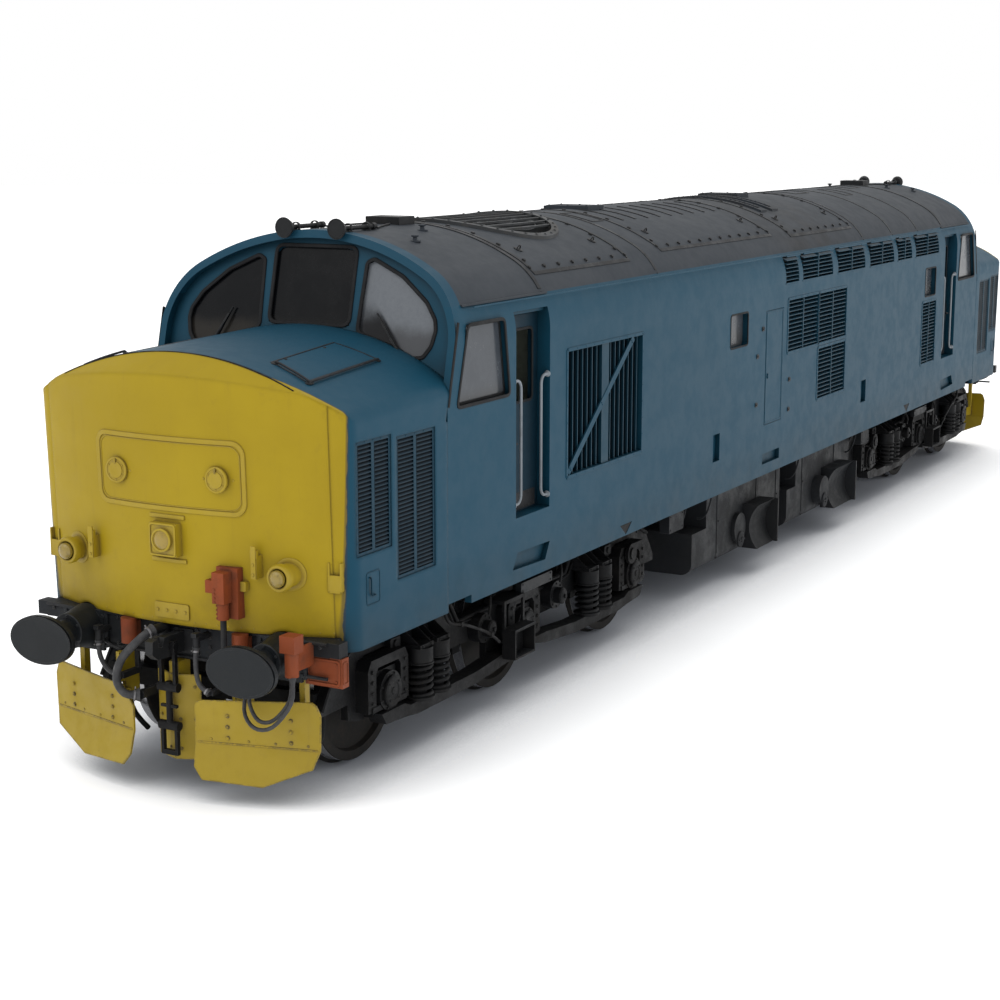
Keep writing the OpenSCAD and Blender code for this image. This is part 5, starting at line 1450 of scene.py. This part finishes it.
k = Kit()
for x in (-3.05, -2.20, -1.10, -0.25, 0.35, 1.45, 2.25, 3.05):
    pts = []
    for i in range(15):
        z = 0.30 + 0.055 * i
        h = side_of("underslung_tanks", x, z)
        if h and h[0].y > 0.95:
            pts.append(h[0])
    if len(pts) > 3:
        k.strip(pts, (0, 1, 0), 0.050, 0.007)
        for p in (pts[0], pts[-1], pts[len(pts) // 2]):
            k.bolt(p + Vector((0, 0.007, 0)), (0, 1, 0), 0.011, 0.009)
for x in (-1.560, 0.930):
    best = None
    for i in range(24):
        z = 0.40 + i * 0.03
        for node in ("underslung_tanks", "tank_saddles"):
            h = side_of(node, x, z)
            if h and (best is None or h[0].y > best[0].y + 0.002):
                best = h
    if best:
        p = Vector((x, best[0].y, best[0].z))
        k.lathe(p, (0, 1, 0), [(0.085, -0.004), (0.085, 0.014), (0.074, 0.020), (0.030, 0.022), (0.026, 0.034), (0.0, 0.036)], 26)
        k.box(x - 0.07, x + 0.07, p.y + 0.018, p.y + 0.030, p.z - 0.008, p.z + 0.008)
# conduit and pipes along the sole bar
for y, z, r in ((1.262, 1.075, 0.012), (1.225, 1.060, 0.009)):
    k.tube([(-3.15, y, z), (3.15, y, z)], r, 8)
for i in range(12):
    x = -3.0 + i * 0.55
    k.box(x - 0.012, x + 0.012, 1.205, 1.284, 1.048, 1.112)
for x in (-2.62, -0.62, 1.92, 2.58):
    k.tube(smooth_route([Vector(p) for p in ((x, 1.225, 1.055), (x + 0.03, 1.22, 0.97), (x + 0.02, 1.18, 0.86), (x, 1.12, 0.80), (x, 1.07, 0.79))], 4), 0.010, 8)
# small boxes hung from the frame
for x0, x1, z0, z1 in ((-3.02, -2.72, 0.88, 1.06), (2.72, 3.06, 0.86, 1.05)):
    k.slab([(a, 1.16, b) for a, b in round_rect(x0, x1, z0, z1, 0.015, 2)], (0, 0.10, 0))
    for a in (x0 + 0.03, x1 - 0.03):
        k.bolt((a, 1.26, z1 - 0.03), (0, 1, 0), 0.008, 0.006)
        k.bolt((a, 1.26, z0 + 0.03), (0, 1, 0), 0.008, 0.006)
        k.box(a - 0.012, a + 0.012, 1.18, 1.20, z1 - 0.01, 1.25)
k.sides()
k.piece("tank_straps_and_pipes", "under", slot="underframe_black", bevel=0.001)


# ------------------------------------------------------------------ buffer beam detail
k = Kit()
for y in (0.870,):
    k.slab([(8.858, a, b) for a, b in round_rect(y - 0.205, y + 0.205, 1.054 - 0.150, 1.054 + 0.125, 0.02, 2)], (0.022, 0, 0))
    for a in (-0.172, 0.172):
        for b in (-0.115, 0.092):
            k.bolt((8.880, y + a, 1.054 + b), (1, 0, 0), 0.017, 0.014)
    k.lathe((9.058, y, 1.054), (1, 0, 0), [(0.127, -0.004), (0.134, 0.0), (0.134, 0.020), (0.127, 0.026), (0.100, 0.027)], 32)
    k.lathe((9.300, y, 1.054), (1, 0, 0), [(0.096, 0), (0.118, 0.012), (0.124, 0.022)], 32)
    oval_ = [(y + 0.268 * math.cos(2 * math.pi * i / 56), 1.054 + 0.166 * math.sin(2 * math.pi * i / 56)) for i in range(56)]
    k.strip([(9.3715, a, b) for a, b in oval_], (1, 0, 0), 0.018, 0.002, closed=True)
    for i in range(6):
        a = math.radians(60 * i + 30)
        k.bolt((9.084, y + 0.112 * math.cos(a), 1.054 + 0.112 * math.sin(a)), (1, 0, 0), 0.008, 0.007)
k.sides()
k.ends()
k.piece("buffer_flanges", "buffer", slot="buffer_grey", bevel=0.0012)

# bolts, pipes and plates on the buffer beam itself
k = Kit()
for y in (-1.18, -1.06, -0.58, -0.50, 0.50, 0.58, 1.06, 1.18):
    for z in (0.955, 1.150):
        h = hit("underframe", (10.0, y, z), (-1, 0, 0))
        if h:
            k.bolt(h[0], (1, 0, 0), 0.014, 0.011)
for y in (-0.25, 0.25):
    for z in (0.96, 1.03, 1.10, 1.16):
        h = hit("underframe", (10.0, y, z), (-1, 0, 0))
        if h:
            k.bolt(h[0], (1, 0, 0), 0.014, 0.011)
k.strip([(8.862, -1.24, 1.176), (8.862, 1.24, 1.176)], (1, 0, 0), 0.022, 0.016)
k.strip([(8.862, -1.24, 0.932), (8.862, 1.24, 0.932)], (1, 0, 0), 0.022, 0.016)
# coupling-hook plate
for a, b in ((-0.14, -0.085), (0.14, -0.085), (-0.14, 0.085), (0.14, 0.085)):
    h = hit("draw_hooks", (10.0, a, 1.054 + b), (-1, 0, 0)) or hit("underframe", (10.0, a, 1.054 + b), (-1, 0, 0))
    if h:
        k.bolt(h[0], (1, 0, 0), 0.018, 0.014)
# pipe runs to the cocks
for y0, z0, y1 in ((-0.66, 0.985, -0.52), (0.66, 0.985, 0.54), (-0.10, 1.165, -0.30)):
    k.tube(smooth_route([Vector(p) for p in ((8.885, y0, z0), (8.915, y0, z0 - 0.01), (8.925, (y0 + y1) / 2, z0 - 0.035), (8.905, y1, z0 - 0.06), (8.865, y1, z0 - 0.065))], 4), 0.012, 8)
k.ends()
k.piece("buffer_beam_bolts", "dark", slot="underframe_black", bevel=0.0)

# plough bolts and lips
k = Kit()
PA = math.radians(14.2)
PT, PNX = Vector((-math.sin(PA), math.cos(PA), 0)), Vector((math.cos(PA), math.sin(PA), 0))


def blade(ly, z, lift=0.0):
    return Vector((9.085, 0.270, 0)) + PT * ly + PNX * (0.014 + lift) + Vector((0, 0, z))


one = Kit()
for ly in (0.245, 0.715):
    for z in (0.45, 0.53, 0.61):
        one.bolt(blade(ly, z), PNX, 0.013, 0.010)
for ly in (0.12, 0.40, 0.60, 0.84):
    one.bolt(blade(ly, 0.435), PNX, 0.010, 0.007, False)
one.strip([blade(0.02, 0.408), blade(0.30, 0.408), blade(0.60, 0.408), blade(0.91, 0.408)], PNX, 0.012, 0.004)
k.join(one)
k.join(one.moved(lambda v: Vector((v.x, -v.y, v.z)), True))
for q in (1, -1):
    a = math.radians(22)
    t_ = Vector((-math.sin(a), math.cos(a) * q, 0))
    n_ = Vector((math.cos(a), math.sin(a) * q, 0))
    for ly in (0.05, 0.16):
        for z in (0.28, 0.50, 0.74):
            k.bolt(Vector((8.985, 0, z)) + t_ * ly + n_ * 0.0, n_, 0.010, 0.008)
k.turned()
k.piece("plough_bolts", "plough", slot="nose_yellow")

# hose clamps, end fittings and tapered collars where the cords leave their sockets
k = Kit()
kf = Kit()
for (end, kind), (q, r) in cord_paths.items():
    for pts in (q, q[::-1]):
        acc, path, rad = 0.0, [], []
        L = 0.052 if r > 0.02 else 0.040
        a0 = pts[0] - Vector((0, 0, RZ))
        prev = a0
        for p in pts:
            p = p - Vector((0, 0, RZ))
            d = (p - prev).length
            if acc + d > L and path:
                p = prev.lerp(p, (L - acc) / d)
                path.append(p)
                rad.append(r * 1.06)
                break
            acc += d
            path.append(p)
            rad.append(r * (1.75 - 0.69 * acc / L))
            prev = p
        if len(path) == 2:
            path = [path[0], path[0].lerp(path[1], 0.33), path[0].lerp(path[1], 0.66), path[1]]
            rad = [r * 1.75, r * 1.62, r * 1.32, r * 1.06]
        k.tube(path, rad, 16)
        if "hose" in kind:
            t = (path[-1] - path[-2]).normalized()
            c = path[-1] - t * 0.022
            kf.lathe(c, t, [(r * 1.42, 0), (r * 1.50, 0.002), (r * 1.50, 0.012), (r * 1.42, 0.014)], 18)
            u_ = t.cross(Vector((0.2, 0.9, 0.3))).normalized()
            kf.cyl(c + t * 0.007 + u_ * r * 1.45, c + t * 0.007 + u_ * (r * 1.45 + 0.016), 0.006, n=8)
k.piece("cord_collars", "rubber", slot="hose_rubber", angle=60)
kf.piece("hose_clamps", "steel", slot="bogie_black", angle=40)

# lids and bolts of the orange sockets; bolts on the cable heads
def face_x(node, y, z):
    return hit(node, (10.0, y, z), (-1, 0, 0))


k = Kit()
for y, z, w, hh in ((1.19, 0.975, 0.13, 0.085),):
    h = face_x("jumper_sockets", y, z)
    if h:
        x = h[0].x
        k.strip([(x, a, b) for a, b in round_rect(y - w, y + w, z - hh, z + hh, 0.02, 3)], (1, 0, 0), 0.018, 0.008, closed=True)
        for a in (-w * 0.82, w * 0.82):
            for b in (-hh * 0.75, hh * 0.75):
                k.bolt((x, y + a, z + b), (1, 0, 0), 0.009, 0.007)
pts = []
for i in range(20):
    z = 0.95 + i * 0.03
    for y in (0.46, 0.50, 0.54):
        h = face_x("jumper_sockets", y, z)
        if h and h[0].x > 8.87:
            pts.append((h[0], y, z))
for p, y, z in pts[::3]:
    k.bolt(p, (1, 0, 0), 0.008, 0.006)
h0 = hit("jumper_sockets", (8.80, 3.0, 0.975), (0, -1, 0))
if h0:
    y = h0[0].y
    k.strip([(a, y, b) for a, b in round_rect(8.772, 8.828, 0.90, 1.05, 0.012, 2)], (0, 1, 0), 0.010, 0.006, closed=True)
k.turned()
k.piece("orange_socket_lids", "orange", slot="orange", bevel=0.001)


# ------------------------------------------------------------------ cab interior
def cushion(x0, x1, y0, y1, z0, z1, crown=0.020, pinch=0.010, flat=True, n=14, m=6):
    """A crowned closed pad. Its sides draw in between the corners and it is flat below."""
    vs, fs, idx = [], [], {}
    cx, cy = (x0 + x1) / 2, (y0 + y1) / 2
    ax, ay = (x1 - x0) / 2, (y1 - y0) / 2

    def put(i, j, l):
        key = (i, j, l)
        if key in idx:
            return idx[key]
        u, v, w = 2 * i / n - 1, 2 * j / n - 1, l / m
        r = max(abs(u), abs(v))
        ru = math.copysign(abs(u) ** 0.92, u)
        rv = math.copysign(abs(v) ** 0.92, v)
        # rounded plan corners
        c = 1 - 0.10 * (abs(ru * rv)) ** 3
        px, py = cx + ru * ax * c, cy + rv * ay * c
        side = math.sin(math.pi * w)
        belly = 0.010 * side
        px += math.copysign(belly, ru) * abs(ru) ** 6
        py += math.copysign(belly, rv) * abs(rv) ** 6
        px -= math.copysign(pinch, ru) * abs(ru) ** 4 * (1 - rv * rv)
        py -= math.copysign(pinch, rv) * abs(rv) ** 4 * (1 - ru * ru)
        top_ = z1 - 0.016 + crown * (1 - ru ** 4) * (1 - rv ** 4) - 0.012 * r ** 10
        top_ += 0.0025 * math.sin(9 * ru + 2 * rv) * (1 - r * r)
        bot = z0 + 0.010 * r ** 8
        vs.append(Vector((px, py, bot + (top_ - bot) * w)))
        idx[key] = len(vs) - 1
        return idx[key]

    for i in range(n):
        for j in range(n):
            fs.append((put(i, j, 0), put(i, j + 1, 0), put(i + 1, j + 1, 0), put(i + 1, j, 0)))
            fs.append((put(i, j, m), put(i + 1, j, m), put(i + 1, j + 1, m), put(i, j + 1, m)))
    for i in range(n):
        for l in range(m):
            fs.append((put(i, 0, l), put(i + 1, 0, l), put(i + 1, 0, l + 1), put(i, 0, l + 1)))
            fs.append((put(i + 1, n, l), put(i, n, l), put(i, n, l + 1), put(i + 1, n, l + 1)))
            fs.append((put(0, i + 1, l), put(0, i, l), put(0, i, l + 1), put(0, i + 1, l + 1)))
            fs.append((put(n, i, l), put(n, i + 1, l), put(n, i + 1, l + 1), put(n, i, l + 1)))
    return vs, fs


pads = Kit()
pipe = Kit()
frames = Kit()
for yc in (0.590, -0.590):
    vs, fs = cushion(6.300, 6.715, yc - 0.200, yc + 0.200, 1.925, 2.012)
    pads.add(vs, fs)
    ring = [(6.507 + (x - 6.507) * 0.985, yc + (y - yc) * 0.985) for x, y in round_rect(6.300, 6.715, yc - 0.200, yc + 0.200, 0.045, 6)]
    pipe.tube([(x, y, 1.998) for x, y in ring], 0.0045, 6, closed=True)
    # back pad: drawn flat, then stood up and leaned back
    vs, fs = cushion(-0.285, 0.285, -0.200, 0.200, 0.0, 0.075)
    lean_b = math.radians(98)
    bx, bz = 6.245, 2.300

    def stand(v, yc=yc):
        a, c = v.x, v.z
        up_ = Vector((math.cos(lean_b), 0, math.sin(lean_b)))
        out_ = Vector((math.sin(lean_b), 0, -math.cos(lean_b)))
        q = Vector((bx, 0, bz)) + up_ * a + out_ * (c - 0.035)
        return Vector((q.x, yc - v.y, q.z))

    pads.add([stand(Vector(v)) for v in vs], [tuple(reversed(f)) for f in fs])
    ring = round_rect(-0.281, 0.281, -0.197, 0.197, 0.045, 6)
    pipe.tube([stand(Vector((a, b, 0.062))) for a, b in ring], 0.0045, 6, closed=True)
    for b in (-0.066, 0.066):
        pipe.tube([stand(Vector((-0.26 + 0.052 * i, b, 0.0765 - 0.010 * abs(-1 + 0.2 * i) ** 4))) for i in range(11)], 0.003, 6)
        pipe.tube([(6.33 + 0.036 * i, yc + b, 2.0155 - 0.010 * abs(-1 + 0.2 * i) ** 4) for i in range(11)], 0.003, 6)
    # pan, post, back shell, foot
    frames.slab([(x, y, 1.905) for x, y in round_rect(6.310, 6.700, yc - 0.190, yc + 0.190, 0.04, 4)], (0, 0, 0.018))
    frames.lathe((6.480, yc, 1.580), (0, 0, 1), [(0.150, 0), (0.150, 0.016), (0.075, 0.024), (0.048, 0.040), (0.048, 0.20), (0.040, 0.205), (0.040, 0.315), (0.090, 0.326)], 28)
    frames.slab([stand(Vector((a, b, -0.020))) for a, b in round_rect(-0.275, 0.275, -0.190, 0.190, 0.05, 4)], stand(Vector((0, 0, 0.0))) - stand(Vector((0, 0, -0.016))))
    for b in (-0.12, 0.12):
        frames.tube([(6.40, yc + b, 1.912), (6.30, yc + b, 1.912), (6.245, yc + b, 1.93), (6.225, yc + b, 2.02), (6.200, yc + b, 2.20)], 0.011, 8)
    frames.lathe((6.480, yc - 0.055, 1.80), (0, -1, 0), [(0.010, 0), (0.010, 0.09), (0.019, 0.092), (0.019, 0.125), (0.012, 0.130)], 12)
pads.turned()
o = pads.piece("cab_seat_cushions", "cloth", slot="seat_cloth", angle=70)
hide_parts("cab_seats")
pipe.turned()
pipe.piece("cab_seat_piping", "black", slot="seat_cloth", angle=60)
frames.turned()
frames.piece("cab_seat_frames", "dark", slot="cab_interior", bevel=0.001)

# dials and handles on the desks: faces left blank
k = Kit()
g = Kit()
TD = math.radians(-25)
for i in range(4):
    y = 0.62 - 0.225 + i * 0.15
    n_ = Vector((-math.cos(math.radians(25)), 0, math.sin(math.radians(25))))
    u_ = Vector((math.sin(math.radians(25)), 0, math.cos(math.radians(25))))
    h = hit("cab_desks", Vector((7.085, y, 2.41)) + n_ * 1.0, -n_)
    if h:
        k.lathe(h[0], n_, [(0.062, -0.002), (0.062, 0.012), (0.056, 0.016), (0.050, 0.010)], 26)
        g.lathe(h[0], n_, [(0.049, 0.009), (0.030, 0.0105), (0.0, 0.011)], 24)
# power handle and brake valve
for y, x in ((0.34, 6.905), (0.95, 6.905)):
    k.lathe((x, y, 2.330), (0, 0, 1), [(0.045, -0.002), (0.045, 0.030), (0.030, 0.045), (0.014, 0.050), (0.014, 0.085)], 20)
    k.tube([(x, y, 2.405), (x - 0.05, y + 0.01, 2.412), (x - 0.115, y + 0.02, 2.420)], 0.009, 8)
    k.lathe((x - 0.115, y + 0.02, 2.405), (0, 0, 1), [(0.008, 0), (0.019, 0.010), (0.021, 0.022), (0.014, 0.034), (0, 0.038)], 14)
for i in range(7):
    y = 0.45 + i * 0.06
    k.lathe((6.90, y, 2.330), (0, 0, 1), [(0.013, -0.001), (0.013, 0.008), (0.006, 0.011), (0.006, 0.026), (0.009, 0.030), (0, 0.033)], 12)
# assistant's side grab rail and a shelf lip
k.tube([(6.948, -0.30, 2.10), (6.915, -0.30, 2.10), (6.905, -0.34, 2.10), (6.905, -1.02, 2.10), (6.915, -1.06, 2.10), (6.948, -1.06, 2.10)], 0.010, 8)
k.strip([(6.955, -1.15, 2.328), (6.955, -0.21, 2.328)], (-1, 0, 0), 0.016, 0.006)
k.turned()
g.turned()
k.piece("cab_desk_fittings", "dark", slot="cab_interior", bevel=0.0)
g.piece("cab_dial_faces", "cabin", slot="cab_interior")
# bulkhead door outline, handle and hinges
k = Kit()
for q in (1, -1):
    pass
h = hit("cab_bulkheads", (6.4, 0.0, 2.2), (-1, 0, 0))
if h:
    x = h[0].x
    k.strip([(x, a, b) for a, b in round_rect(-0.30, 0.30, 1.62, 3.20, 0.06, 4)], (1, 0, 0), 0.035, 0.012, closed=True)
    k.lathe((x, 0.24, 2.35), (1, 0, 0), [(0.022, 0), (0.022, 0.012), (0.012, 0.016), (0.012, 0.040), (0.022, 0.044), (0.022, 0.060), (0, 0.064)], 16)
    for z in (1.85, 2.40, 2.95):
        k.cyl((x + 0.012, -0.305, z - 0.05), (x + 0.012, -0.305, z + 0.05), 0.012, n=10)
k.turned()
k.piece("bulkhead_door_frames", "cabin", slot="cab_interior", bevel=0.001)
